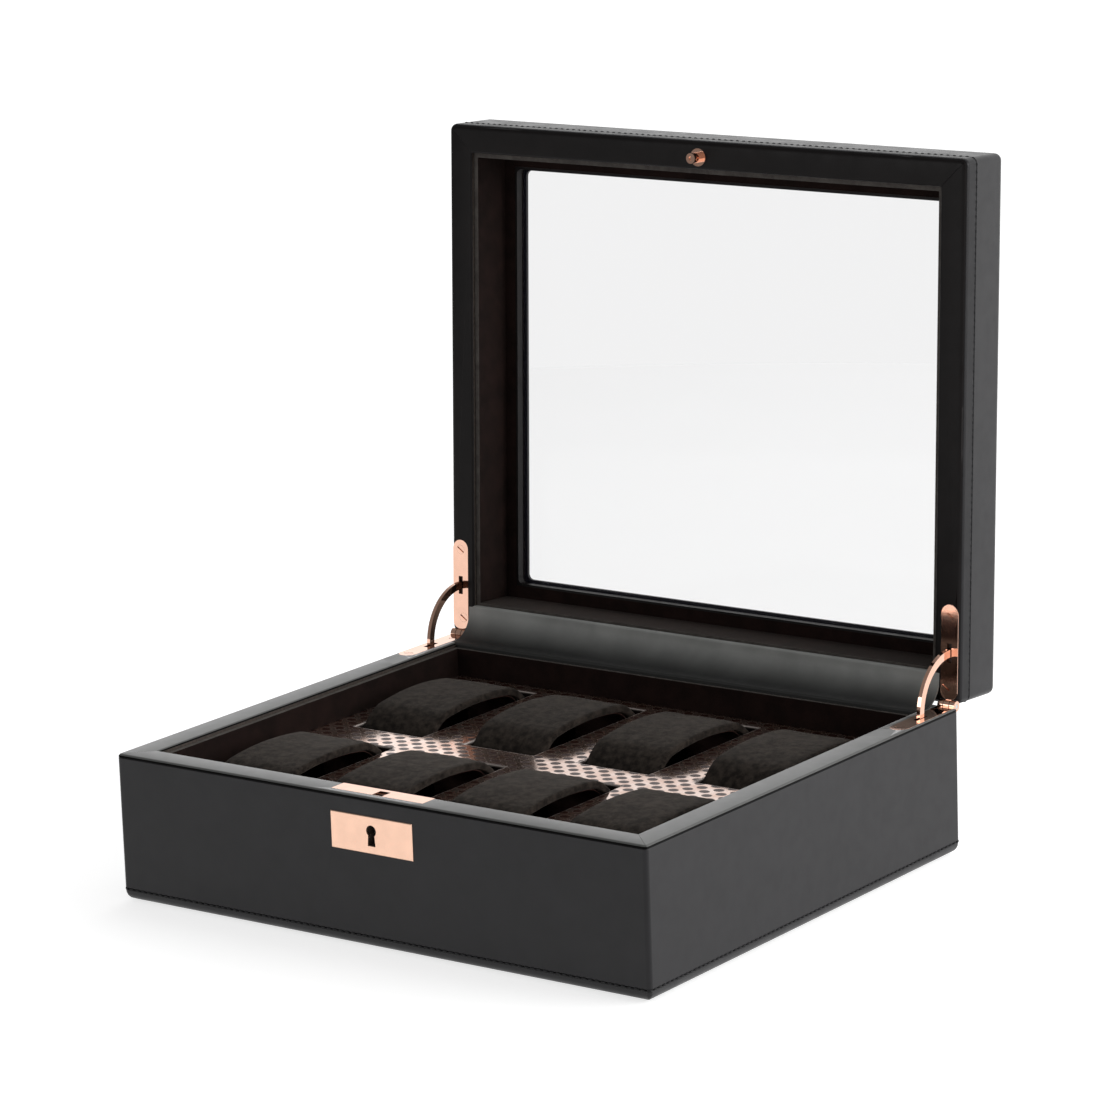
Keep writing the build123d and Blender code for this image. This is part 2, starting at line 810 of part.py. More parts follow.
def write_lid_leather():
    """Writes the lid's leather: the top cover, the band at the rim, the rim facing and edging."""
    outside = lid_block(0)
    boards = lid_block(leather)
    window = (window_width, window_depth)
    lip = glass_depth + glass_thickness + fit_gap
    with BuildPart() as cover:
        add(outside)
        add(boards, mode=Mode.SUBTRACT)
        keep_slab(lid_rim.offset(lid_band_height), lid_height)
        turn_in = lid_height - leather - lip
        opening = (window_width + 2 * leather, window_depth + 2 * leather)
        frame_ring(lid_rim.offset(lip), opening, window, turn_in, window_corner)
        with BuildSketch(lid_rim.offset(lip)):
            RectangleRounded(*window, window_corner)
        extrude(amount=lid_height, mode=Mode.SUBTRACT)
    write_piece(cover.part, "lid_leather_cover")

    with BuildPart() as band:
        add(outside)
        add(boards, mode=Mode.SUBTRACT)
        keep_slab(lid_rim, lid_band_height)
        for _, side in LEFT_AND_RIGHT:
            cut_hinge_seat(lid_rim, INTO_LID, side)
    write_piece(band.part, "lid_leather_band")

    with BuildPart() as facing:
        rim_facing(lid_rim, INTO_LID, lid_corner)
        with BuildSketch(lid_rim):
            with Locations((0, lock_y)):
                Circle(stud_disc + fit_gap)
        extrude(amount=leather, mode=Mode.SUBTRACT)
    write_piece(facing.part, "lid_rim_facing")

    with BuildPart() as edging:
        height = glass_depth - inner_frame_depth
        outer = (window_width + 2 * leather - 2 * fit_gap, window_depth + 2 * leather - 2 * fit_gap)
        frame_ring(lid_rim.offset(inner_frame_depth), outer, window, height, window_corner)
    write_piece(edging.part, "lid_window_edging")

    with BuildPart() as liner:
        liner_panels(lid_rim.offset(liner_drop), inner_frame_depth - liner_drop)
    write_piece(liner.part, "lid_liner_panels")


def write_gusset():
    """Writes the leather strip that coves across the hinge side, glued inside both rims."""
    flap_y = inner_depth / 2 - gusset_thickness / 2 - 0.1
    rim_z = base_height - rear_recess + gusset_thickness / 2 + 0.1
    flap_z = base_height - liner_drop + 0.3
    corner_y = pivot_y + (pivot_z - rim_z) / math.tan(open_turn / 2)
    above = 2 * pivot_z
    with BuildPart() as gusset:
        with BuildSketch(Plane.YZ.offset(gusset_margin - inner_width / 2)):
            with BuildLine() as path:
                FilletPolyline(
                    (flap_y, flap_z),
                    (flap_y, rim_z),
                    (corner_y, rim_z),
                    swung(flap_y, above - rim_z),
                    swung(flap_y, above - flap_z),
                    radius=[gusset_fold, gusset_radius, gusset_fold],
                )
            trace(path.wires(), gusset_thickness)
        extrude(amount=inner_width - 2 * gusset_margin)
    write_piece(gusset.part, "hinge_gusset")


os.makedirs("parts", exist_ok=True)
write_base_walls()
write_base_leather()
write_base_lining()
write_tray()
write_cuffs()
write_lid_boards()
write_lid_leather()
write_hinges()
write_lock()
write_gusset()
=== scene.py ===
import json
import math

import bmesh
import bpy
import numpy as np
from mathutils import Matrix, Vector


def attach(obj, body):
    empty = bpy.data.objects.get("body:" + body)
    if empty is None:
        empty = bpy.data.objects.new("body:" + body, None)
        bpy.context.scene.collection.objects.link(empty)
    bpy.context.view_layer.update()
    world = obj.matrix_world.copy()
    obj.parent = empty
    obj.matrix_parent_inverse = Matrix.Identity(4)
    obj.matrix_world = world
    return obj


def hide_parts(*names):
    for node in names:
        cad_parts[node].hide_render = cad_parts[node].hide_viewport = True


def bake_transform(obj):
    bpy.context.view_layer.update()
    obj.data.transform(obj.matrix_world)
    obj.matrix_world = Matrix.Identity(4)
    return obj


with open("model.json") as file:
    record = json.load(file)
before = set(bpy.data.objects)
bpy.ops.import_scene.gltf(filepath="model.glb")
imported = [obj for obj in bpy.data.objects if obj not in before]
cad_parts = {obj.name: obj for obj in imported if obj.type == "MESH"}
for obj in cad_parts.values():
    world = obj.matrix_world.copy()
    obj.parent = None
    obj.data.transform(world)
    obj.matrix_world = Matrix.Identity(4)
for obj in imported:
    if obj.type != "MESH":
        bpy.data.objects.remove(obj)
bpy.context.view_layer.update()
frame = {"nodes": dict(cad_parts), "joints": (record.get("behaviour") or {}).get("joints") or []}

# Shapes are modelled in mm, lid pieces with the lid closed, and new_piece() makes them metres.
MM = 0.001

# --- Sizes read from the frame ------------------------------------------------------------
hinge = next(j for j in frame["joints"] if j["name"] == "lid_hinge")
hinge_point = Vector(hinge["pos_m"])
open_angle = math.radians(-hinge["range_deg"][0])
OPEN_LID = (
    Matrix.Translation(hinge_point)
    @ Matrix.Rotation(open_angle, 4, Vector(hinge["axis"]))
    @ Matrix.Translation(-hinge_point)
)


def box_mm(node, turn=None):
    """Lowest and highest corner of a CAD node in mm, after turning it by a matrix."""
    mesh = frame["nodes"][node].data
    places = [(turn @ v.co if turn else v.co) / MM for v in mesh.vertices]
    places = np.array(places)
    return Vector(places.min(0)), Vector(places.max(0))


def closed_box(node):
    """A lid node's box in mm with the lid closed."""
    return box_mm(node, OPEN_LID.inverted())


pivot_y = hinge_point.y / MM
pivot_z = hinge_point.z / MM
outside = box_mm("base_leather_sides")[1]
half_width = outside.x
half_depth = outside.y
inside = box_mm("base_bottom_panel")[1]
base_top = box_mm("base_rim_facing")[1].z
leather = base_top - outside.z
hem_top = box_mm("base_leather_hem")[1].z
foot = box_mm("base_leather_hem")[0].z
lid_bottom = closed_box("lid_rim_facing")[0].z
lid_top = closed_box("lid_leather_cover")[1].z
band_top = closed_box("lid_leather_band")[1].z
window_half_x = closed_box("lid_window_edging")[1].x - leather
lip = closed_box("lid_glass")[1].z
escutcheon = box_mm("lock_escutcheon")
tray_top = box_mm("tray_top_panel")[1].z
CUFFS = range(1, 9)

# --- Materials ----------------------------------------------------------------------------


class Graph:
    """A node material being built: add() makes a node and sets its inputs or properties."""

    def __init__(self, name):
        self.material = bpy.data.materials.new(name)
        self.material.use_nodes = True
        self.tree = self.material.node_tree
        self.tree.nodes.clear()
        self.place = self.add("TexCoord").outputs["Object"]
        self.shader = self.add("BsdfPrincipled")
        output = self.add("OutputMaterial")
        self.link(self.shader.outputs["BSDF"], output.inputs["Surface"])

    def add(self, kind, inputs=None, **settings):
        """Adds a shader node; inputs are numbers, colours or sockets to link."""
        node = self.tree.nodes.new("ShaderNode" + kind)
        for key, value in settings.items():
            setattr(node, key, value)
        for key, value in (inputs or {}).items():
            if isinstance(value, bpy.types.NodeSocket):
                self.link(value, node.inputs[key])
            else:
                node.inputs[key].default_value = value
        return node

    def link(self, start, end):
        self.tree.links.new(start, end)

    def set(self, **values):
        """Sets the Principled shader's own sockets, or links them."""
        for key, value in values.items():
            socket = self.shader.inputs[key.replace("_", " ")]
            if isinstance(value, bpy.types.NodeSocket):
                self.link(value, socket)
            else:
                socket.default_value = value

    def stretched(self, scale):
        """The place on the object, scaled along each axis."""
        return self.add("Mapping", {"Vector": self.place, "Scale": scale}).outputs["Vector"]

    def noise(self, size_mm, detail=2.0, place=None, rough=0.5):
        """Noise whose features are about size_mm across."""
        inputs = {"Vector": place or self.place, "Scale": 1 / (size_mm * MM), "Detail": detail}
        inputs["Roughness"] = rough
        return self.add("TexNoise", inputs).outputs["Fac"]

    def ramp(self, value, low, high, start=0.35, end=0.65):
        """Maps a value between start and end to a number or a colour between low and high."""
        if isinstance(low, tuple):
            factor = self.map(value, start, end, 0.0, 1.0)
            return self.mix(factor, low, high)
        return self.map(value, start, end, low, high)

    def mix(self, factor, first, second):
        """Mixes two colours, given as numbers or sockets."""
        node = self.add("Mix", data_type="RGBA")
        self.link(factor, node.inputs["Factor"])
        colours = [s for s in node.inputs if s.type == "RGBA"]
        for socket, colour in zip(colours, (first, second)):
            if isinstance(colour, bpy.types.NodeSocket):
                self.link(colour, socket)
            else:
                socket.default_value = (*colour, 1)
        return [s for s in node.outputs if s.type == "RGBA"][0]

    def map(self, value, start, end, low, high):
        """Maps a value between start and end to a number between low and high."""
        inputs = {"Value": value, "From Min": start, "From Max": end, "To Min": low, "To Max": high}
        return self.add("MapRange", inputs).outputs["Result"]

    def math(self, operation, a, b=0.0):
        """One step of arithmetic on numbers or sockets."""
        node = self.add("Math", operation=operation)
        for socket, value in zip(node.inputs, (a, b)):
            if isinstance(value, bpy.types.NodeSocket):
                self.link(value, socket)
            else:
                socket.default_value = value
        return node.outputs[0]

    def bump(self, height, strength, depth_mm, normal=None):
        """A normal tilted by a height, on top of another normal if one is given."""
        inputs = {"Height": height, "Strength": strength, "Distance": depth_mm * MM}
        node = self.add("Bump", inputs)
        if normal:
            self.link(normal, node.inputs["Normal"])
        return node.outputs["Normal"]


# The painted shade in a leather fold: its colour as a share of the colour beside it.
PAINTED_FOLD_SHADE = 0.08
# The size of the leather's pebbled grain, and the width of the creases between.
GRAIN_CELL = 0.75
CREASE = 0.22


def leather_material(
    name, dark, light, level=0.5, rough=(0.36, 0.46), grain=1.0, painted_shade_span=None, sheen=0.0
):
    """Fine-grained leather: pebbled grain, fine pores and slow mottling.

    Between two given heights, in mm, painted shade darkens it downwards towards a fold.
    """
    g = Graph(name)
    grain_cells = g.add(
        "TexVoronoi",
        {"Vector": g.place, "Scale": 1 / (GRAIN_CELL * MM), "Randomness": 0.9},
        feature="DISTANCE_TO_EDGE",
    ).outputs["Distance"]
    creases = g.map(grain_cells, 0.0, CREASE, 0.0, 1.0)
    creased = g.bump(creases, strength=0.12 * grain, depth_mm=0.05)
    pores = g.noise(0.35, detail=3.0)
    colour = g.ramp(g.noise(14.0, detail=4.0), dark, light)
    # Painted shade: the colour darkens towards the lower height, down into the fold.
    if painted_shade_span:
        height = g.add("SeparateXYZ", {"Vector": g.place}).outputs["Z"]
        painted_shade = g.map(height, painted_shade_span[0] * MM, painted_shade_span[1] * MM, 1.0, 0.0)
        colour = g.mix(painted_shade, colour, tuple(c * PAINTED_FOLD_SHADE for c in dark))
    g.set(
        Base_Color=colour,
        Roughness=g.ramp(g.noise(6.0, detail=3.0), *rough),
        Specular_IOR_Level=level,
        Sheen_Weight=sheen,
        Sheen_Roughness=0.35,
        Normal=g.bump(pores, strength=0.10 * grain, depth_mm=0.04, normal=creased),
    )
    return g.material


def suede_material(name, dark, light, sheen, patch=9.0):
    """Short-napped suede: brushed patches, a fine nap and a soft sheen."""
    g = Graph(name)
    patches = g.noise(patch, detail=3.0, rough=0.6)
    nap = g.noise(0.45, detail=4.0, rough=0.7)
    patch_share, nap_share = 0.65, 0.35
    patches = g.math("MULTIPLY", patches, patch_share)
    speck = g.math("ADD", patches, g.math("MULTIPLY", nap, nap_share))
    g.set(
        Base_Color=g.ramp(speck, dark, light, start=0.40, end=0.60),
        Roughness=0.95,
        Specular_IOR_Level=0.1,
        Sheen_Weight=sheen,
        Sheen_Roughness=0.45,
        Sheen_Tint=(0.75, 0.68, 0.62, 1),
        Normal=g.bump(nap, strength=0.55, depth_mm=0.22),
    )
    return g.material


# The colour of tarnished metal as a share of the bright colour.
TARNISH = 0.93


def metal_material(name, colour, rough, scratch=0.04):
    """Polished plated metal with very fine wear and brushed streaks."""
    g = Graph(name)
    streaks = g.noise(0.3, detail=3.0, place=g.stretched((1.0, 0.08, 1.0)))
    tarnish = g.noise(5.0, detail=3.0)
    darker = tuple(c * TARNISH for c in colour)
    g.set(
        Base_Color=g.ramp(tarnish, darker, colour),
        Metallic=1.0,
        Roughness=g.ramp(streaks, rough * 0.8, rough * 1.3),
        Normal=g.bump(streaks, strength=scratch, depth_mm=0.02),
    )
    return g.material


def foil_material():
    """Metallic leather embossed with a staggered lattice of small dark ovals."""
    g = Graph("tray_foil")
    split = g.add("SeparateXYZ", {"Vector": g.place})
    pitch_x, pitch_y = 8.0 * MM, 8.6 * MM
    # Half an oval's width and length as shares of the pitch, and how uneven its edge is.
    oval_x, oval_y = 0.30, 0.235
    uneven = 0.10
    # Added before FRACT so that it never sees a negative number.
    clear_of_zero = 100.0
    wobble = g.math("MULTIPLY", g.math("SUBTRACT", g.noise(3.0), 0.5), uneven)

    def lattice(shift):
        """Distance from an oval's centre, 1 at its edge, in one half of the lattice."""
        u = g.math("ADD", g.math("DIVIDE", split.outputs["X"], pitch_x), shift)
        v = g.math("ADD", g.math("DIVIDE", split.outputs["Y"], pitch_y), shift)
        column = g.math("FRACT", g.math("ADD", u, clear_of_zero))
        row = g.math("FRACT", g.math("ADD", v, clear_of_zero))
        x = g.math("DIVIDE", g.math("SUBTRACT", column, 0.5), oval_x)
        y = g.math("DIVIDE", g.math("SUBTRACT", row, 0.5), oval_y)
        return g.math("SQRT", g.math("ADD", g.math("MULTIPLY", x, x), g.math("MULTIPLY", y, y)))

    edge = g.math("ADD", g.math("MINIMUM", lattice(0.0), lattice(0.5)), wobble)
    foil = g.map(edge, 0.86, 1.04, 0.0, 1.0)
    grain = g.noise(0.5, detail=3.0)
    grain_height = 0.05
    shade = g.ramp(g.noise(7.0, detail=3.0), (0.70, 0.46, 0.36), (0.82, 0.64, 0.56))
    height = g.math("ADD", foil, g.math("MULTIPLY", grain, grain_height))
    g.set(
        Base_Color=g.mix(foil, (0.050, 0.020, 0.014), shade),
        Metallic=g.map(foil, 0.0, 1.0, 0.60, 0.95),
        Roughness=g.map(foil, 0.0, 1.0, 0.30, 0.12),
        Normal=g.bump(height, strength=0.16, depth_mm=0.08),
    )
    return g.material


def glass_material():
    """A clear pane that lets most light straight through, faintly smeared."""
    g = Graph("window_glass")
    smear = g.noise(60.0)
    g.set(
        Base_Color=g.ramp(smear, (0.040, 0.038, 0.062), (0.050, 0.047, 0.076)),
        Roughness=g.ramp(smear, 0.02, 0.04),
        Alpha=0.13,
        IOR=1.5,
    )
    return g.material


def board_material():
    """Dark stained board."""
    g = Graph("board")
    fibres = g.noise(1.2, detail=4.0, place=g.stretched((0.1, 1.0, 1.0)))
    g.set(
        Base_Color=g.ramp(fibres, (0.020, 0.014, 0.010), (0.045, 0.032, 0.024)),
        Roughness=0.75,
        Normal=g.bump(fibres, strength=0.3, depth_mm=0.1),
    )
    return g.material


def thread_material():
    """Waxed black thread with a twist."""
    g = Graph("thread")
    twist = g.noise(0.4)
    g.set(
        Base_Color=g.ramp(twist, (0.006, 0.006, 0.007), (0.016, 0.016, 0.017)),
        Roughness=0.7,
        Specular_IOR_Level=0.2,
        Normal=g.bump(twist, strength=0.5, depth_mm=0.08),
    )
    return g.material


BLACK_LEATHER = leather_material(
    "black_leather",
    (0.0050, 0.0046, 0.0056),
    (0.0066, 0.0061, 0.0074),
    level=0.29,
    rough=(0.34, 0.42),
)
# A darker copy of the black leather for the lid's band: its darker colour is painted shade.
BAND_PAINTED_SHADE_LEATHER = leather_material(
    "lid_band_leather",
    (0.0045, 0.0041, 0.0050),
    (0.0060, 0.0055, 0.0067),
    level=0.19,
    rough=(0.38, 0.46),
)
# A far lighter copy of the black leather for the base's rim: its pale colour is painted sheen for
# the reflection along the rim, with the shader's real sheen on top.
RIM_PAINTED_SHEEN_LEATHER = leather_material(
    "rim_leather",
    (0.050, 0.051, 0.049),
    (0.060, 0.061, 0.058),
    level=0.45,
    rough=(0.42, 0.48),
    grain=0.4,
    sheen=0.5,
)
# A darker, duller copy of the black leather for the lid's rim and window edging: its darker colour
# is painted shade.
LID_RIM_PAINTED_SHADE_LEATHER = leather_material(
    "lid_rim_leather", (0.0040, 0.0030, 0.0030), (0.0060, 0.0046, 0.0046), level=0.14
)
# Painted shade darkens the gusset's colour downwards over its lowest 10 mm above the base's rim.
GUSSET_LEATHER = leather_material(
    "gusset_leather",
    (0.205, 0.210, 0.202),
    (0.250, 0.255, 0.245),
    level=0.30,
    rough=(0.50, 0.60),
    painted_shade_span=(base_top + 0.5, base_top + 10.0),
)
# Near-black matte edge paint: real paint on the leather's cut edge, kept darker than the leather so
# that it also paints the shade of the groove under the rim.
EDGE_PAINT_AND_SHADE = leather_material(
    "edge_paint", (0.0014, 0.0013, 0.0013), (0.0024, 0.0022, 0.0022), level=0.06
)
LINER_SUEDE = suede_material(
    "brown_suede", (0.0060, 0.0028, 0.0022), (0.0120, 0.0055, 0.0045), sheen=0.06
)
CUFF_SUEDE = suede_material(
    "cuff_suede", (0.0060, 0.0044, 0.0035), (0.0310, 0.0245, 0.0200), sheen=0.10, patch=3.0
)
CORE = suede_material("cuff_core", (0.056, 0.031, 0.026), (0.090, 0.052, 0.044), sheen=0.0)
# Pale suede for the strips at the lining boards' edges: its pale colour is a painted highlight
# along the rims' inner edge.
HIGHLIGHT_EDGING = suede_material(
    "liner_highlight_strip", (0.045, 0.040, 0.037), (0.070, 0.063, 0.058), sheen=0.10, patch=5.0
)
FELT = suede_material(
    "base_felt", (0.010, 0.010, 0.011), (0.022, 0.022, 0.024), sheen=0.2, patch=5.0
)
PIPING = metal_material("cell_piping", (0.52, 0.46, 0.43), rough=0.42, scratch=0.3)
ROSE_GOLD = metal_material("rose_gold", (0.86, 0.53, 0.40), rough=0.06, scratch=0.015)
SATIN_GOLD = metal_material("satin_rose_gold", (0.92, 0.60, 0.45), rough=0.28, scratch=0.02)
STEEL = metal_material("steel", (0.55, 0.54, 0.53), rough=0.35)
FOIL = foil_material()
GLASS = glass_material()
BOARD = board_material()
THREAD = thread_material()

# --- Mesh helpers -------------------------------------------------------------------------


def new_piece(name, points, faces, material, body, turn=None):
    """A smooth-shaded mesh from points in mm, on a body, turned open if it is a lid piece."""
    mesh = bpy.data.meshes.new(name)
    mesh.from_pydata([tuple(MM * c for c in p) for p in points], [], faces)
    mesh.validate()
    if turn:
        mesh.transform(turn)
    tidy = bmesh.new()
    tidy.from_mesh(mesh)
    bmesh.ops.recalc_face_normals(tidy, faces=tidy.faces)
    tidy.to_mesh(mesh)
    tidy.free()
    mesh.shade_smooth()
    mesh.materials.append(material)
    piece = bpy.data.objects.new(name, mesh)
    bpy.context.scene.collection.objects.link(piece)
    if body:
        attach(piece, body)
    return piece


def weigh_normals(piece):
    """Keeps flat faces flat beside small round edges."""
    modifier = piece.modifiers.new("weighted", "WEIGHTED_NORMAL")
    modifier.keep_sharp = True
    modifier.weight = 100


NEARLY_STRAIGHT = 0.01


def rounded(corners, steps=5):
    """A closed outline from (u, v, radius) corners, with arcs at the corners."""
    outline = []
    count = len(corners)
    for n, (u, v, radius) in enumerate(corners):
        here = Vector((u, v))
        before = Vector(corners[n - 1][:2]) - here
        after = Vector(corners[(n + 1) % count][:2]) - here
        half = before.angle(after) / 2
        if radius <= 0 or half < NEARLY_STRAIGHT:
            outline.append((u, v))
            continue
        reach = radius / math.tan(half)
        start = here + before.normalized() * reach
        end = here + after.normalized() * reach
        middle = (before.normalized() + after.normalized()).normalized()
        centre = here + middle * (radius / math.sin(half))
        a, b = start - centre, end - centre
        turn = a.angle(b)
        for k in range(steps + 1):
            t = k / steps
            spot = (math.sin((1 - t) * turn) * a + math.sin(t * turn) * b) / math.sin(turn)
            outline.append(tuple(centre + spot))
    return outline


CORNER_STEPS = 8
SMALLEST_CORNER = 0.25


def plan_loop(half_x, half_y, corner, side_step=12.0):
    """A rounded rectangle as (x, y) points, with the same number of points for any corner."""
    centres = ((1, -1), (1, 1), (-1, 1), (-1, -1))
    corner = max(corner, SMALLEST_CORNER)
    points = []
    for n, (sx, sy) in enumerate(centres):
        for k in range(CORNER_STEPS + 1):
            angle = math.radians(-90 + 90 * (n + k / CORNER_STEPS))
            x = sx * (half_x - corner) + corner * math.cos(angle)
            y = sy * (half_y - corner) + corner * math.sin(angle)
            points.append((x, y))
        side = 2 * (half_depth if n % 2 == 0 else half_width)
        pieces = int(side / side_step)
        nx, ny = centres[(n + 1) % 4]
        angle = math.radians(-90 + 90 * (n + 1))
        end = (
            nx * (half_x - corner) + corner * math.cos(angle),
            ny * (half_y - corner) + corner * math.sin(angle),
        )
        start = points[-1]
        for k in range(1, pieces):
            t = k / pieces
            points.append((start[0] + t * (end[0] - start[0]), start[1] + t * (end[1] - start[1])))
    return points


def grid_faces(rows, columns, wrap_rows, wrap_columns):
    """Quads between points laid out row by row."""
    faces = []
    for r in range(rows if wrap_rows else rows - 1):
        for c in range(columns if wrap_columns else columns - 1):
            a, b = r * columns + c, r * columns + (c + 1) % columns
            s = (r + 1) % rows * columns
            faces.append((a, b, s + (c + 1) % columns, s + c))
    return faces


def swept_ring(name, corners, plan_corner, material, body, turn=None):
    """A closed profile of (out, z, radius) corners, swept round the box's plan."""
    profile = rounded(corners)
    points = []
    for out, z in profile:
        loop = plan_loop(half_width + out, half_depth + out, plan_corner(out))
        points += [(x, y, z) for x, y in loop]
    faces = grid_faces(len(profile), len(points) // len(profile), True, True)
    piece = new_piece(name, points, faces, material, body, turn)
    weigh_normals(piece)
    return piece


def apply_modifiers(piece):
    """Replaces a piece's mesh by what its modifiers make of it."""
    graph = bpy.context.evaluated_depsgraph_get()
    made = bpy.data.meshes.new_from_object(piece.evaluated_get(graph))
    piece.modifiers.clear()
    piece.data = made


def cut(piece, low, high):
    """Cuts a box, given by two corners in mm, out of a piece."""
    xs, ys, zs = zip(low, high)
    points = [(x, y, z) for z in zs for y in ys for x in xs]
    faces = [(0, 1, 3, 2), (4, 6, 7, 5), (0, 4, 5, 1), (2, 3, 7, 6), (0, 2, 6, 4), (1, 5, 7, 3)]
    cutter = new_piece("cutter", points, faces, BOARD, None)
    modifier = piece.modifiers.new("cut", "BOOLEAN")
    modifier.operation = "DIFFERENCE"
    modifier.object = cutter
    modifier.solver = "EXACT"
    bpy.context.view_layer.update()
    apply_modifiers(piece)
    bpy.data.objects.remove(cutter)


def along(points, pitch):
    """(place, direction) every pitch along a closed line of points."""
    line = [Vector(p) for p in points]
    line.append(line[0])
    lengths = [(b - a).length for a, b in zip(line, line[1:])]
    total = sum(lengths)
    count = round(total / pitch)
    found, n, passed = [], 0, 0.0
    for k in range(count):
        target = (k + 0.5) * total / count
        while passed + lengths[n] < target:
            passed += lengths[n]
            n += 1
        direction = (line[n + 1] - line[n]).normalized()
        found.append((line[n] + direction * (target - passed), direction))
    return found


# Stitches, in mm, but the dip and the blunt tip as shares of the thread's radius.
STITCH_LENGTH = 2.1
STITCH_RADIUS = 0.44
STITCH_PITCH = 3.0
STITCH_SINK = 0.12
STITCH_DIP = 0.45
STITCH_TIP = 0.18


def stitches(name, places, normals, body, turn=None):
    """One mesh of thread stitches, each a capsule that dips at both ends."""
    rings, around = 7, 8
    points, faces = [], []
    for (place, direction), normal in zip(places, normals):
        side = direction.cross(normal).normalized()
        start = len(points)
        for i in range(rings):
            t = -1 + 2 * i / (rings - 1)
            fat = STITCH_RADIUS * max(STITCH_TIP, math.sqrt(max(0.0, 1 - t**4)))
            dip = STITCH_DIP * STITCH_RADIUS * t * t
            centre = place + direction * (t * STITCH_LENGTH / 2) - normal * dip
            for k in range(around):
                angle = 2 * math.pi * k / around
                offset = side * math.cos(angle) + normal * math.sin(angle)
                points.append(tuple(centre + offset * fat))
        for i in range(rings - 1):
            for k in range(around):
                a = start + i * around + k
                b = start + i * around + (k + 1) % around
                faces.append((a, b, b + around, a + around))
        faces.append(tuple(start + k for k in reversed(range(around))))
        faces.append(tuple(start + (rings - 1) * around + k for k in range(around)))
    return new_piece(name, points, faces, THREAD, body, turn)


def ring_stitches(name, z, corner, body, turn=None):
    """A row of stitches round the box at a height, facing outwards."""
    loop = plan_loop(half_width - STITCH_SINK, half_depth - STITCH_SINK, corner, side_step=2.0)
    places = along([(x, y, z) for x, y in loop], STITCH_PITCH)
    normals = [direction.cross(Vector((0, 0, 1))).normalized() for _, direction in places]
    return stitches(name, places, normals, body, turn)


# --- CAD nodes that stay, with rounded edges and materials --------------------------------
SHARP_ANGLE = math.radians(40)
FLAT_ANGLE = math.radians(0.6)


def finish_node(name, material, edge=0.0, steps=2):
    """Gives a CAD node a material and, with edge in mm, small round edges."""
    node = frame["nodes"][name]
    node.data.materials.clear()
    node.data.materials.append(material)
    if edge:
        merge = node.modifiers.new("merge", "DECIMATE")
        merge.decimate_type = "DISSOLVE"
        merge.angle_limit = FLAT_ANGLE
        bevel = node.modifiers.new("edges", "BEVEL")
        bevel.width = edge * MM
        bevel.segments = steps
        bevel.limit_method = "ANGLE"
        bevel.angle_limit = SHARP_ANGLE
        bevel.harden_normals = False
        smooth_faces(node)
        weigh_normals(node)


def smooth_faces(node):
    """Shades an object's faces smooth."""
    node.data.polygons.foreach_set("use_smooth", [True] * len(node.data.polygons))


def finish_cad_nodes():
    """Materials and edges for every CAD node that is shown."""
    for name in ("front", "back", "left", "right"):
        finish_node(f"base_wall_{name}", BOARD)
        finish_node(f"lid_wall_{name}", BOARD)
    finish_node("base_bottom_panel", BOARD)
    finish_node("lid_top_frame", BOARD)
    finish_node("base_underside_felt", FELT, edge=0.3)
    finish_node("base_liner_panels", LINER_SUEDE, edge=0.5, steps=3)
    finish_node("base_floor_liner", LINER_SUEDE)
    finish_node("tray_border", LINER_SUEDE)
    finish_node("tray_divider_long", LINER_SUEDE)
    finish_node("tray_dividers_cross", LINER_SUEDE)
    finish_node("tray_top_panel", FOIL, edge=0.15)
    finish_node("lid_inner_frame", LINER_SUEDE, edge=0.3)
    finish_node("lid_window_edging", LID_RIM_PAINTED_SHADE_LEATHER, edge=0.2)
    finish_node("lid_liner_panels", LINER_SUEDE, edge=0.5, steps=3)
    finish_node("lid_glass", GLASS)
    for side in ("left", "right"):
        finish_node(f"hinge_base_leaf_{side}", ROSE_GOLD, edge=0.3)
        finish_node(f"hinge_lid_leaf_{side}", ROSE_GOLD, edge=0.3)
        finish_node(f"hinge_pin_{side}", STEEL)
        finish_node(f"stay_arm_{side}", ROSE_GOLD, edge=0.22)
    finish_node("base_hinge_screws", ROSE_GOLD, edge=0.2)
    finish_node("lid_hinge_screws", ROSE_GOLD, edge=0.2)
    finish_node("lock_case", STEEL)
    finish_node("lock_bolt", STEEL, edge=0.15)
    finish_node("lock_top_plate", ROSE_GOLD, edge=0.3)
    finish_node("lock_escutcheon", SATIN_GOLD, edge=0.55, steps=1)
    finish_node("lock_stud", ROSE_GOLD, edge=0.25)


# --- Leather of base and lid --------------------------------------------------------------
# Radii of the leather's edges, in mm: those that show and those that face a board.
EDGE = 0.5
INNER = 0.1
BASE_RIM_ROUND = 1.4
LID_RIM_ROUND = 2.6
RIM_INNER_ROUND = 0.9
BASE_CORNER = 2.0
LID_CORNER = 3.0
# Gaps: the groove under the base's rim leather, half a seam, and round a knuckle.
GROOVE = 0.3
SEAM = 0.11
KNUCKLE_GAP = 0.3
# Rim faces that point up less than this are cut edges, and get the dark edge paint, which is partly
# painted shade.
RIM_TURN = 0.55
RIM_SHARP_ANGLE = math.radians(35)
LINER_BOARD = 2.0


def base_corner(out):
    """The radius of the base's corners in plan, at out mm beyond its sides."""
    return BASE_CORNER + out


def make_base_leather():
    """The leather on the base's sides and rim, and its turned-under hem with the stitches."""
    make_side_leather()
    rim = round_facing(
        "base_rim_leather",
        "base_rim_facing",
        RIM_PAINTED_SHEEN_LEATHER,
        "base",
        base_top,
        -1,
        (BASE_RIM_ROUND, RIM_INNER_ROUND),
        base_corner,
    )
    # The rim's outer edge faces get the edge paint, which also paints the groove's shade.
    rim.data.materials.append(EDGE_PAINT_AND_SHADE)
    for face in rim.data.polygons:
        face.material_index = 0 if face.normal.z > RIM_TURN else 1
    make_hem_leather()
    ring_stitches("base_hem_stitches", hem_top, BASE_CORNER, "base")


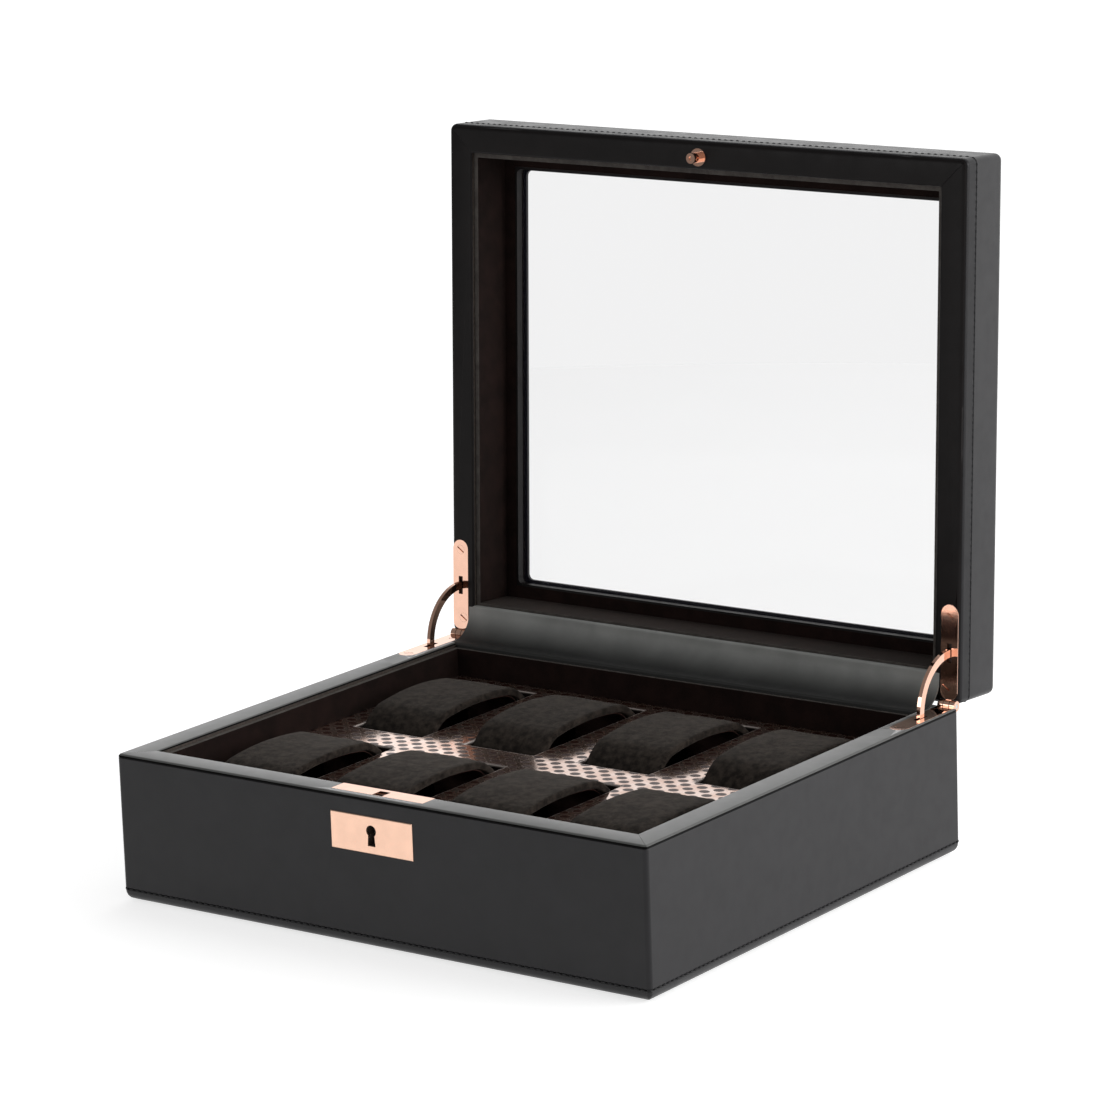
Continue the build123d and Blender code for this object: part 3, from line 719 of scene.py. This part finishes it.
def make_side_leather():
    """The leather on the base's sides, open behind the escutcheon and at the knuckles."""
    sides = [
        (0, hem_top + SEAM, EDGE),
        (0, outside.z - GROOVE, EDGE),
        (-leather, outside.z - GROOVE, INNER),
        (-leather, hem_top + SEAM, INNER),
    ]
    piece = swept_ring(
        "base_sides_leather", sides, base_corner, BLACK_LEATHER, "base"
    )
    covered = 1.2
    before, behind = 2, 3
    low, high = escutcheon
    cut(
        piece,
        (low.x + covered, -half_depth - before, low.z + covered),
        (high.x - covered, -half_depth + behind, high.z - covered),
    )
    cut_knuckle_notches(piece)
    weigh_normals(piece)
    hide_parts("base_leather_sides")


def make_hem_leather():
    """The leather strip along the foot, turned under to the felt."""
    turned_in = box_mm("base_underside_felt")[1].x - half_width
    foot_round, inner_round, thin_edge = 4.5, 3.5, 0.3
    hem = [
        (0, hem_top - SEAM, EDGE),
        (-leather, hem_top - SEAM, INNER),
        (-leather, foot + leather, inner_round),
        (turned_in, foot + leather, INNER),
        (turned_in, foot, thin_edge),
        (0, foot, foot_round),
    ]
    piece = swept_ring(
        "base_hem_leather", hem, base_corner, BLACK_LEATHER, "base"
    )
    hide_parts("base_leather_hem")


def round_facing(name, node, material, body, rim_z, inward, radii, corner, turn=None):
    """A rim's leather facing with its outer and inner edges rounded to the given radii.

    inward is the way from the rim into the wall: -1 down in the base, 1 up in the closed lid.
    """
    rim = half_width - inside.x
    spare = 0.02
    depth = 4
    deep = rim_z + depth * inward
    profile = [(spare, rim_z, radii[0]), (spare, deep, 0), (-rim - spare, deep, 0)]
    profile.append((-rim - spare, rim_z, radii[1]))
    limit = swept_ring("limit", profile, corner, material, None, turn)
    limit.modifiers.clear()
    piece = bpy.data.objects.new(name, frame["nodes"][node].data.copy())
    piece.data.materials.clear()
    piece.data.materials.append(material)
    bpy.context.scene.collection.objects.link(piece)
    modifier = piece.modifiers.new("round", "BOOLEAN")
    modifier.operation = "INTERSECT"
    modifier.object = limit
    modifier.solver = "EXACT"
    bpy.context.view_layer.update()
    apply_modifiers(piece)
    bpy.data.objects.remove(limit)
    smooth_faces(piece)
    piece.data.set_sharp_from_angle(angle=RIM_SHARP_ANGLE)
    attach(piece, body)
    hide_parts(node)
    return piece


def make_edge_paint_and_shade():
    """The painted cut edge of the base's rim leather, in the groove above the side leather; its
    near-black colour also stands in for the groove's shade.
    """
    proud, deep = 0.03, -0.5
    above_groove, below_rim = 0.1, 0.90
    low = outside.z - GROOVE + above_groove
    high = base_top - below_rim
    profile = [(proud, low, 0.1), (proud, high, 0.2), (deep, high, 0), (deep, low, 0)]
    piece = swept_ring(
        "base_rim_edge_paint_and_shade", profile, base_corner, EDGE_PAINT_AND_SHADE, "base"
    )
    cut_knuckle_notches(piece)


EDGING_CORNER = 0.3
EDGING_THICK = 0.22


def edging_corner(out):
    """The radius of the liner edgings' corners, the same at any distance."""
    return EDGING_CORNER


def make_liner_highlight_strip():
    """Pale strips on the edges of the lining boards of base and lid, whose pale colour is a painted
    highlight along the rims' inner edge.
    """
    rim = half_width - inside.x
    gap = 0.1
    board_top = box_mm("base_liner_panels")[1].z
    drop = base_top - board_top
    for name, body, z, up, turn in (
        ("base_liner_highlight_strip", "base", board_top, 1, None),
        ("lid_liner_highlight_strip", "lid", lid_bottom + drop, -1, OPEN_LID),
    ):
        profile = [
            (-rim - gap, z, 0.05),
            (-rim - gap, z + up * EDGING_THICK, 0.1),
            (-rim - LINER_BOARD, z + up * EDGING_THICK, 0.1),
            (-rim - LINER_BOARD, z, 0.05),
        ]
        swept_ring(name, profile, edging_corner, HIGHLIGHT_EDGING, body, turn)


def cut_knuckle_notches(piece):
    """Cuts back leather, in the closed box's frame, round the hinge knuckles."""
    inwards, outwards, down, up = 4, 3, 2.5, 3
    for side in ("left", "right"):
        low, high = box_mm(f"hinge_pin_{side}")
        cut(
            piece,
            (low.x - KNUCKLE_GAP, half_depth - inwards, pivot_z - down),
            (high.x + KNUCKLE_GAP, half_depth + outwards, pivot_z + up),
        )


def make_lid_leather():
    """The lid's leather cover, the stitched band next to the rim, and the rim's facing."""
    window_out = window_half_x - half_width
    window_corner = 2.5
    top_edge = 4.0

    def corner(out):
        if out > -top_edge:
            return LID_CORNER + out
        return window_corner * (out + top_edge) / (window_out + top_edge)

    make_lid_cover(window_out, top_edge, corner)
    make_lid_band(corner)
    round_facing(
        "lid_rim_leather",
        "lid_rim_facing",
        LID_RIM_PAINTED_SHADE_LEATHER,
        "lid",
        lid_bottom,
        1,
        (LID_RIM_ROUND, RIM_INNER_ROUND),
        corner,
        OPEN_LID,
    )
    ring_stitches("lid_band_stitches", band_top, LID_CORNER, "lid", OPEN_LID)


def make_lid_cover(window_out, top_edge, corner):
    """The leather over the lid's top and sides, turned in at the window."""
    window_edge, inner_round = 0.8, 3.0
    cover = [
        (0, band_top + SEAM, EDGE),
        (0, lid_top, top_edge),
        (window_out, lid_top, window_edge),
        (window_out, lip, INNER),
        (window_out - leather, lip, INNER),
        (window_out - leather, lid_top - leather, INNER),
        (-leather, lid_top - leather, inner_round),
        (-leather, band_top + SEAM, INNER),
    ]
    piece = swept_ring(
        "lid_cover_leather", cover, corner, BLACK_LEATHER, "lid", OPEN_LID
    )
    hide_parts("lid_leather_cover")


def make_lid_band(corner):
    """The band below the cover, rounded over to meet the rim's facing."""
    arc_steps = 6
    start_angle = math.asin(1 - leather / LID_RIM_ROUND)
    arc = []
    for k in range(arc_steps + 1):
        angle = start_angle * (1 - k / arc_steps)
        out = LID_RIM_ROUND * (math.cos(angle) - 1)
        arc.append((out, lid_bottom + LID_RIM_ROUND * (1 - math.sin(angle)), 0))
    band = [
        *arc,
        (0, band_top - SEAM, EDGE),
        (-leather, band_top - SEAM, INNER),
        (-leather, lid_bottom + leather, INNER),
    ]
    piece = swept_ring("lid_band_leather", band, corner, BAND_PAINTED_SHADE_LEATHER, "lid")
    cut_knuckle_notches(piece)
    piece.data.transform(OPEN_LID)
    weigh_normals(piece)
    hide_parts("lid_leather_band")


# --- Gusset -------------------------------------------------------------------------------
# The strip's thickness, its gap to what it lies on, and the radii of its bends, in mm.
GUSSET_THICK = 0.8
GUSSET_GAP = 0.1
COVE_RADIUS = 12.0
FLAP_BEND = 0.55
# How far the cove reaches sideways past the flaps, and over what length it widens.
COVE_EXTRA = 2.8
COVE_FLARE = 3.0
# How far it swells, and its small waves: size, length in mm and phase.
GUSSET_SWELL = 0.22
GUSSET_WAVES = ((1.0, 9.0, 0.0), (0.6, 3.7, 1.3))
GUSSET_COLUMNS = 96
GUSSET_SHARP_ANGLE = math.radians(60)


def opened(y, z):
    """Where a point of the closed lid, in mm, is with the lid open."""
    spot = OPEN_LID @ (Vector((0, y, z)) * MM) / MM
    return (spot.y, spot.z)


def gusset_path(flap_end):
    """The strip's middle line in the open box, as (y, z) in mm, and the ends of its cove."""
    flap_y = inside.y - GUSSET_THICK / 2 - GUSSET_GAP
    rim_z = box_mm("base_wall_back")[1].z + leather + GUSSET_THICK / 2 + GUSSET_GAP
    corner_y = pivot_y + (pivot_z - rim_z) / math.tan(open_angle / 2)
    lid_rim_z = 2 * pivot_z - rim_z
    line = [
        (flap_y, flap_end, 0),
        (flap_y, rim_z, FLAP_BEND),
        (corner_y, rim_z, COVE_RADIUS),
        (*opened(flap_y, lid_rim_z), FLAP_BEND),
        (*opened(flap_y, 2 * pivot_z - flap_end), 0),
    ]
    ends = [line[0][:2], line[-1][:2]]
    # Two far points close the outline for rounded(), and are dropped again.
    far = 400
    arcs = rounded([(0, 0, 0), *line, (0, far, 0)], steps=14)[1:-1]
    path = refine([ends[0], *arcs[1:-1], ends[1]], 1.0)
    cove_y = corner_y - COVE_RADIUS
    return path, ((cove_y, rim_z), opened(cove_y, lid_rim_z))


def gusset_section(path):
    """The outline of both faces, at half the strip's thickness from its path."""
    tangents = [Vector(b) - Vector(a) for a, b in zip(path[:1] + path[:-1], path[1:] + path[-1:])]
    normals = [Vector((-t.y, t.x)).normalized() for t in tangents]
    half = GUSSET_THICK / 2
    section = [Vector(p) + n * half for p, n in zip(path, normals)]
    section += [Vector(p) - n * half for p, n in reversed(list(zip(path, normals)))]
    return section


def gusset_points(section, low, high, flap):
    """The section's points at every column, wider and gently waved beyond a flap's length."""
    rows = len(section)
    lean = 0.7
    points = []
    for n, spot in enumerate(section):
        row = min(n, rows - 1 - n)
        share = row / (rows / 2 - 1)
        # Rows are about 1 mm apart, so a count of rows is a length in mm.
        from_end = min(row, rows / 2 - 1 - row) - flap - 1
        wide = 1 + COVE_EXTRA / high.x * min(1.0, max(0.0, from_end / COVE_FLARE))
        swell = GUSSET_SWELL * math.sin(math.pi * share) ** 2
        for c in range(GUSSET_COLUMNS):
            x = wide * (low.x + (high.x - low.x) * c / (GUSSET_COLUMNS - 1))
            wave = sum(size * math.sin(x / step + phase) for size, step, phase in GUSSET_WAVES)
            ripple = swell * wave
            points.append((x, spot.x - lean * ripple, spot.y + lean * ripple))
    return points


def make_gusset():
    """The leather strip that coves across the hinge side, from the base's lining to the lid's."""
    low, high = box_mm("hinge_gusset")
    path, cove = gusset_path(low.z)
    section = gusset_section(path)
    points = gusset_points(section, low, high, cove[0][1] - low.z)
    rows, columns = len(section), GUSSET_COLUMNS
    faces = grid_faces(rows, columns, True, False)
    faces.append(tuple(n * columns for n in range(rows)))
    faces.append(tuple(n * columns + columns - 1 for n in reversed(range(rows))))
    piece = new_piece("gusset_leather", points, faces, GUSSET_LEATHER, None)
    piece.data.set_sharp_from_angle(angle=GUSSET_SHARP_ANGLE)
    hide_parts("hinge_gusset")
    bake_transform(piece)


def refine(path, step):
    """Adds points so that no run is longer than step."""
    fine = [path[0]]
    for a, b in zip(path, path[1:]):
        pieces = max(1, math.ceil((Vector(b) - Vector(a)).length / step))
        for k in range(1, pieces + 1):
            t = k / pieces
            fine.append((a[0] + t * (b[0] - a[0]), a[1] + t * (b[1] - a[1])))
    return fine


# --- Cuffs --------------------------------------------------------------------------------
# A cuff seen from its end: how much top and bottom bow, its corner radius and its slit.
CUFF_CROWN = 5.0
CUFF_CORNER = 17.0
CUFF_SLIT = 12.0
# The suede stands this far above and beside its place in the frame.
CUFF_RISE = 0.5
CUFF_SWELL = 0.4
# (outer, inner) depth of the pad and of the spring inside it.
PAD_DEPTHS = (0.0, 3.3)
SPRING_DEPTHS = (3.2, 4.2)
PAD_EDGE = 0.9
SPRING_EDGE = 0.4
SPRING_INSET = 2.4
# Points along the outline, the share of it that thins at a lip, and down to what share.
CUFF_STATIONS = 120
CUFF_LIP = 0.02
LIP_THIN = 0.08
# How far the pad's two long edges roll inwards, in mm.
CUFF_ROLL = 0.25
# Small waves in the suede: height, length across, slant and turns along the outline.
CUFF_WAVES = ((0.12, 4.3, 9, 14), (0.07, 2.1, 0, 31))


def cuff_outline(half, bottom, top, count):
    """(place, outward normal) evenly round a cuff, from one lip of its slit to the other."""
    arc_steps = 16
    side_low, side_high = bottom + CUFF_CROWN, top - CUFF_CROWN
    middle = (side_low + side_high) / 2
    tall = (side_high - side_low) / 2
    raw = [(-CUFF_SLIT / 2, side_low)]
    for sy, sz, first in ((-1, -1, 270), (-1, 1, 180), (1, 1, 90), (1, -1, 0)):
        for k in range(arc_steps + 1):
            angle = math.radians(first - 90 * k / arc_steps)
            y = sy * (half - CUFF_CORNER) + CUFF_CORNER * math.cos(angle)
            z = middle + sz * (tall - CUFF_CORNER) + CUFF_CORNER * math.sin(angle)
            raw.append((y, z))
    raw.append((CUFF_SLIT / 2, side_low))
    crowned = []
    for y, z in refine(raw, 1.0):
        share = max(-1.0, min(1.0, (z - middle) / tall))
        crowned.append((y, z + share * CUFF_CROWN * (1 - (y / half) ** 2)))
    lengths = [0.0]
    for a, b in zip(crowned, crowned[1:]):
        lengths.append(lengths[-1] + (Vector(b) - Vector(a)).length)
    wanted = np.linspace(0, lengths[-1], count)
    ys = np.interp(wanted, lengths, [p[0] for p in crowned])
    zs = np.interp(wanted, lengths, [p[1] for p in crowned])
    tangents = np.stack([np.gradient(ys), np.gradient(zs)], axis=1)
    tangents /= np.linalg.norm(tangents, axis=1)[:, None]
    return [((y, z), (-t[1], t[0])) for y, z, t in zip(ys, zs, tangents)]


def shell_section(half_x, half_thick, edge):
    """(across, thick) round a flat shell's section, in mm, with round edges."""
    corners = [(-half_x, half_thick, edge), (half_x, half_thick, edge)]
    corners += [(half_x, -half_thick, edge), (-half_x, -half_thick, edge)]
    loop = rounded(corners)
    widest_step = 1.2
    return refine([*loop, loop[0]], widest_step)[:-1]


def suede_wave(across, share, phases):
    """The height of a cuff's small waves at a place across and a share along its outline."""
    total = 0.0
    for (height, length, slant, turns), (first, second) in zip(CUFF_WAVES, phases):
        wave = math.sin(across / length + slant * share + first)
        total += height * wave * math.sin(turns * share + second)
    return total


def cuff_shell(name, cushion, depths, half_width_x, edge, material, body, seed):
    """A C-shaped shell between two depths with soft ends, in the place of one cuff."""
    low, high = cushion
    x, y = (low.x + high.x) / 2, (low.y + high.y) / 2
    count = CUFF_STATIONS
    outline = cuff_outline((high.y - low.y) / 2, low.z, high.z + CUFF_RISE, count)
    rng = np.random.default_rng(seed)
    phases = rng.uniform(0, 2 * math.pi, (len(CUFF_WAVES), 2))
    middle_depth = (depths[0] + depths[1]) / 2
    half_thick = (depths[1] - depths[0]) / 2
    section = shell_section(half_width_x, half_thick, edge)
    around = len(section)
    points = []
    for n, ((ay, az), (ny, nz)) in enumerate(outline):
        s = n / (count - 1)
        past = max(0.0, abs(2 * s - 1) - (1 - CUFF_LIP)) / CUFF_LIP
        thin = max(LIP_THIN, math.sqrt(max(0.0, 1 - past**2)))
        for px, thick in section:
            wave = suede_wave(px, s, phases)
            roll = CUFF_ROLL * abs(px / half_width_x) ** 8
            share = 0.5 + 0.5 * thick / half_thick
            depth = middle_depth - thick * thin + (wave + roll) * share
            points.append((x + px, y + ay - ny * depth, az - nz * depth))
    faces = grid_faces(count, around, False, True)
    faces.append(tuple(range(around)))
    faces.append(tuple((count - 1) * around + k for k in reversed(range(around))))
    return new_piece(name, points, faces, material, body)


def make_cuffs():
    """Eight suede cuffs: a padded C over a thin sprung core."""
    for n in CUFFS:
        cushion = box_mm(f"cuff_{n}_cushion")
        half_x = (cushion[1].x - cushion[0].x) / 2 + CUFF_SWELL
        body = f"cuff_{n}"
        pad = cuff_shell(
            f"cuff_{n}_suede",
            cushion,
            PAD_DEPTHS,
            half_x,
            PAD_EDGE,
            CUFF_SUEDE,
            body,
            n,
        )
        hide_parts(f"cuff_{n}_cushion")
        core = cuff_shell(
            f"cuff_{n}_spring",
            cushion,
            SPRING_DEPTHS,
            half_x - SPRING_INSET,
            SPRING_EDGE,
            CORE,
            body,
            n,
        )
        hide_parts(f"cuff_{n}_core")


# --- Tray piping --------------------------------------------------------------------------
# The piping's radius, how far its middle is below the tray's top, and outside the cell.
PIPING_RADIUS = 0.75
PIPING_SINK = 0.72
PIPING_OUT = 0.35


def cell_half():
    """Half the width and depth of a cell, from the cuff columns and the dividers."""
    long_bar = box_mm("tray_divider_long")
    first, second = box_mm("cuff_1_cushion"), box_mm("cuff_2_cushion")
    pitch = second[0].x - first[0].x
    half_x = long_bar[1].x - 1.5 * pitch
    cross = box_mm("tray_dividers_cross")
    half_y = (cross[1].y - long_bar[1].y) / 2
    return half_x, half_y


def small_loop(half_x, half_y, corner=0.8, steps=4):
    """A small rounded rectangle, anticlockwise."""
    loop = []
    for n, (sx, sy) in enumerate(((1, -1), (1, 1), (-1, 1), (-1, -1))):
        for k in range(steps + 1):
            angle = math.radians(-90 + 90 * (n + k / steps))
            x = sx * (half_x - corner) + corner * math.cos(angle)
            y = sy * (half_y - corner) + corner * math.sin(angle)
            loop.append((x, y))
    return loop


def make_cell_piping():
    """Thin piping round the edge of every cell."""
    points, faces = [], []
    around = 12
    cell_x, cell_y = cell_half()
    edge = small_loop(cell_x + PIPING_OUT, cell_y + PIPING_OUT)
    for n in CUFFS:
        low, high = box_mm(f"cuff_{n}_cushion")
        x, y = (low.x + high.x) / 2, (low.y + high.y) / 2
        loop = [Vector((x + px, y + py, tray_top - PIPING_SINK)) for px, py in edge]
        start = len(points)
        count = len(loop)
        for i, spot in enumerate(loop):
            tangent = (loop[(i + 1) % count] - loop[i - 1]).normalized()
            out = tangent.cross(Vector((0, 0, 1))).normalized()
            for k in range(around):
                angle = 2 * math.pi * k / around
                offset = out * math.cos(angle) + Vector((0, 0, 1)) * math.sin(angle)
                points.append(tuple(spot + offset * PIPING_RADIUS))
        for face in grid_faces(count, around, True, True):
            faces.append(tuple(start + v for v in face))
    new_piece("tray_cell_piping", points, faces, PIPING, "base")


# --- Camera, floor and light --------------------------------------------------------------
CAMERA_LENS = 149.68
CAMERA_SENSOR = 36.0
CAMERA_NEAR = 0.05
CAMERA_PLACE = (1.0866, -1.4656, 0.5630)
CAMERA_FORWARD = (-0.5752, 0.7851, -0.2295)
CAMERA_RIGHT = (0.8108, 0.5844, -0.0328)
# The world's light from behind the box, growing to the right, and the same all round.
BACKDROP = 1.15
RIGHTWARD = 0.3
FILL = 0.17
# The world's white as the camera sees it, as bright as the far floor.
SEEN = 1.155
FLOOR_GLOW = 0.70
FLOOR_RADIUS = 1.1


def make_camera():
    """The camera at the viewing angle."""
    data = bpy.data.cameras.new("camera")
    data.lens = CAMERA_LENS
    data.sensor_width = CAMERA_SENSOR
    data.clip_start = CAMERA_NEAR
    camera = bpy.data.objects.new("camera", data)
    forward = Vector(CAMERA_FORWARD).normalized()
    right = Vector(CAMERA_RIGHT).normalized()
    up = right.cross(forward).normalized()
    right = forward.cross(up)
    axes = Matrix((right, up, -forward)).transposed().to_4x4()
    camera.matrix_world = Matrix.Translation(CAMERA_PLACE) @ axes
    bpy.context.scene.collection.objects.link(camera)
    bpy.context.scene.camera = camera


def make_floor():
    """A pale round floor under the box, with a glow that keeps the shadow faint."""
    floor = bpy.data.meshes.new("floor")
    edge = bmesh.new()
    bmesh.ops.create_circle(edge, cap_ends=True, segments=96, radius=FLOOR_RADIUS)
    edge.to_mesh(floor)
    edge.free()
    g = Graph("floor")
    g.set(
        Base_Color=g.ramp(g.noise(300.0), (0.53, 0.53, 0.53), (0.55, 0.55, 0.55)),
        Roughness=0.9,
        Emission_Color=(1, 1, 1, 1),
        Emission_Strength=FLOOR_GLOW,
    )
    floor.materials.append(g.material)
    piece = bpy.data.objects.new("floor", floor)
    bpy.context.scene.collection.objects.link(piece)


def make_world():
    """White all round for the camera; for light, brightest low down behind the box."""
    world = bpy.data.worlds.new("studio")
    world.use_nodes = True
    bpy.context.scene.world = world
    tree = world.node_tree
    tree.nodes.clear()
    direction = tree.nodes.new("ShaderNodeTexCoord")
    split = tree.nodes.new("ShaderNodeSeparateXYZ")
    tree.links.new(direction.outputs["Generated"], split.inputs[0])

    def calculate(operation, a, b):
        node = tree.nodes.new("ShaderNodeMath")
        node.operation = operation
        for socket, value in zip(node.inputs, (a, b)):
            if isinstance(value, bpy.types.NodeSocket):
                tree.links.new(value, socket)
            else:
                socket.default_value = value
        return node.outputs[0]

    def fade(value, start, end, low, high):
        node = tree.nodes.new("ShaderNodeMapRange")
        for socket, number in zip(node.inputs[1:5], (start, end, low, high)):
            socket.default_value = number
        tree.links.new(value, node.inputs[0])
        return node.outputs[0]

    behind = fade(split.outputs["Y"], start=0.1, end=0.8, low=0.0, high=BACKDROP)
    low = fade(split.outputs["Z"], start=0.35, end=0.75, low=1.0, high=0.15)
    rightward = fade(split.outputs["X"], start=-1.0, end=1.0, low=0.0, high=RIGHTWARD)
    strength = calculate("ADD", calculate("MULTIPLY", behind, low), rightward)
    strength = calculate("ADD", strength, FILL)
    white = (1, 1, 1, 1)
    light = tree.nodes.new("ShaderNodeBackground")
    light.inputs["Color"].default_value = white
    tree.links.new(strength, light.inputs["Strength"])
    seen = tree.nodes.new("ShaderNodeBackground")
    seen.inputs["Color"].default_value = white
    seen.inputs["Strength"].default_value = SEEN
    path = tree.nodes.new("ShaderNodeLightPath")
    mix = tree.nodes.new("ShaderNodeMixShader")
    tree.links.new(path.outputs["Is Camera Ray"], mix.inputs[0])
    tree.links.new(light.outputs[0], mix.inputs[1])
    tree.links.new(seen.outputs[0], mix.inputs[2])
    output = tree.nodes.new("ShaderNodeOutputWorld")
    tree.links.new(mix.outputs[0], output.inputs[0])


def area_light(name, place, target, size, power):
    """A rectangular soft light at a place, turned to a target."""
    data = bpy.data.lights.new(name, "AREA")
    data.shape = "RECTANGLE"
    data.size, data.size_y = size
    data.energy = power
    light = bpy.data.objects.new(name, data)
    light.location = place
    light.rotation_euler = (Vector(target) - Vector(place)).to_track_quat("-Z", "Y").to_euler()
    bpy.context.scene.collection.objects.link(light)


def make_lights():
    """Soft boxes overhead, at the front left, and at the right."""
    middle = (0, 0.05, 0.1)
    area_light("overhead", place=(0.1, 1.0, 1.7), target=(0, 0, 0), size=(1.6, 1.6), power=9)
    area_light("front", place=(-0.7, -2.0, 0.62), target=middle, size=(1.2, 0.7), power=7.9)
    area_light("right", place=(1.7, 0.5, 0.66), target=middle, size=(1.2, 1.2), power=27)


make_camera()
make_floor()
make_world()
make_lights()
bpy.context.scene.view_settings.view_transform = "Standard"

finish_cad_nodes()
make_base_leather()
make_lid_leather()
make_edge_paint_and_shade()
make_liner_highlight_strip()
make_gusset()
make_cuffs()
make_cell_piping()

bpy.context.view_layer.update()
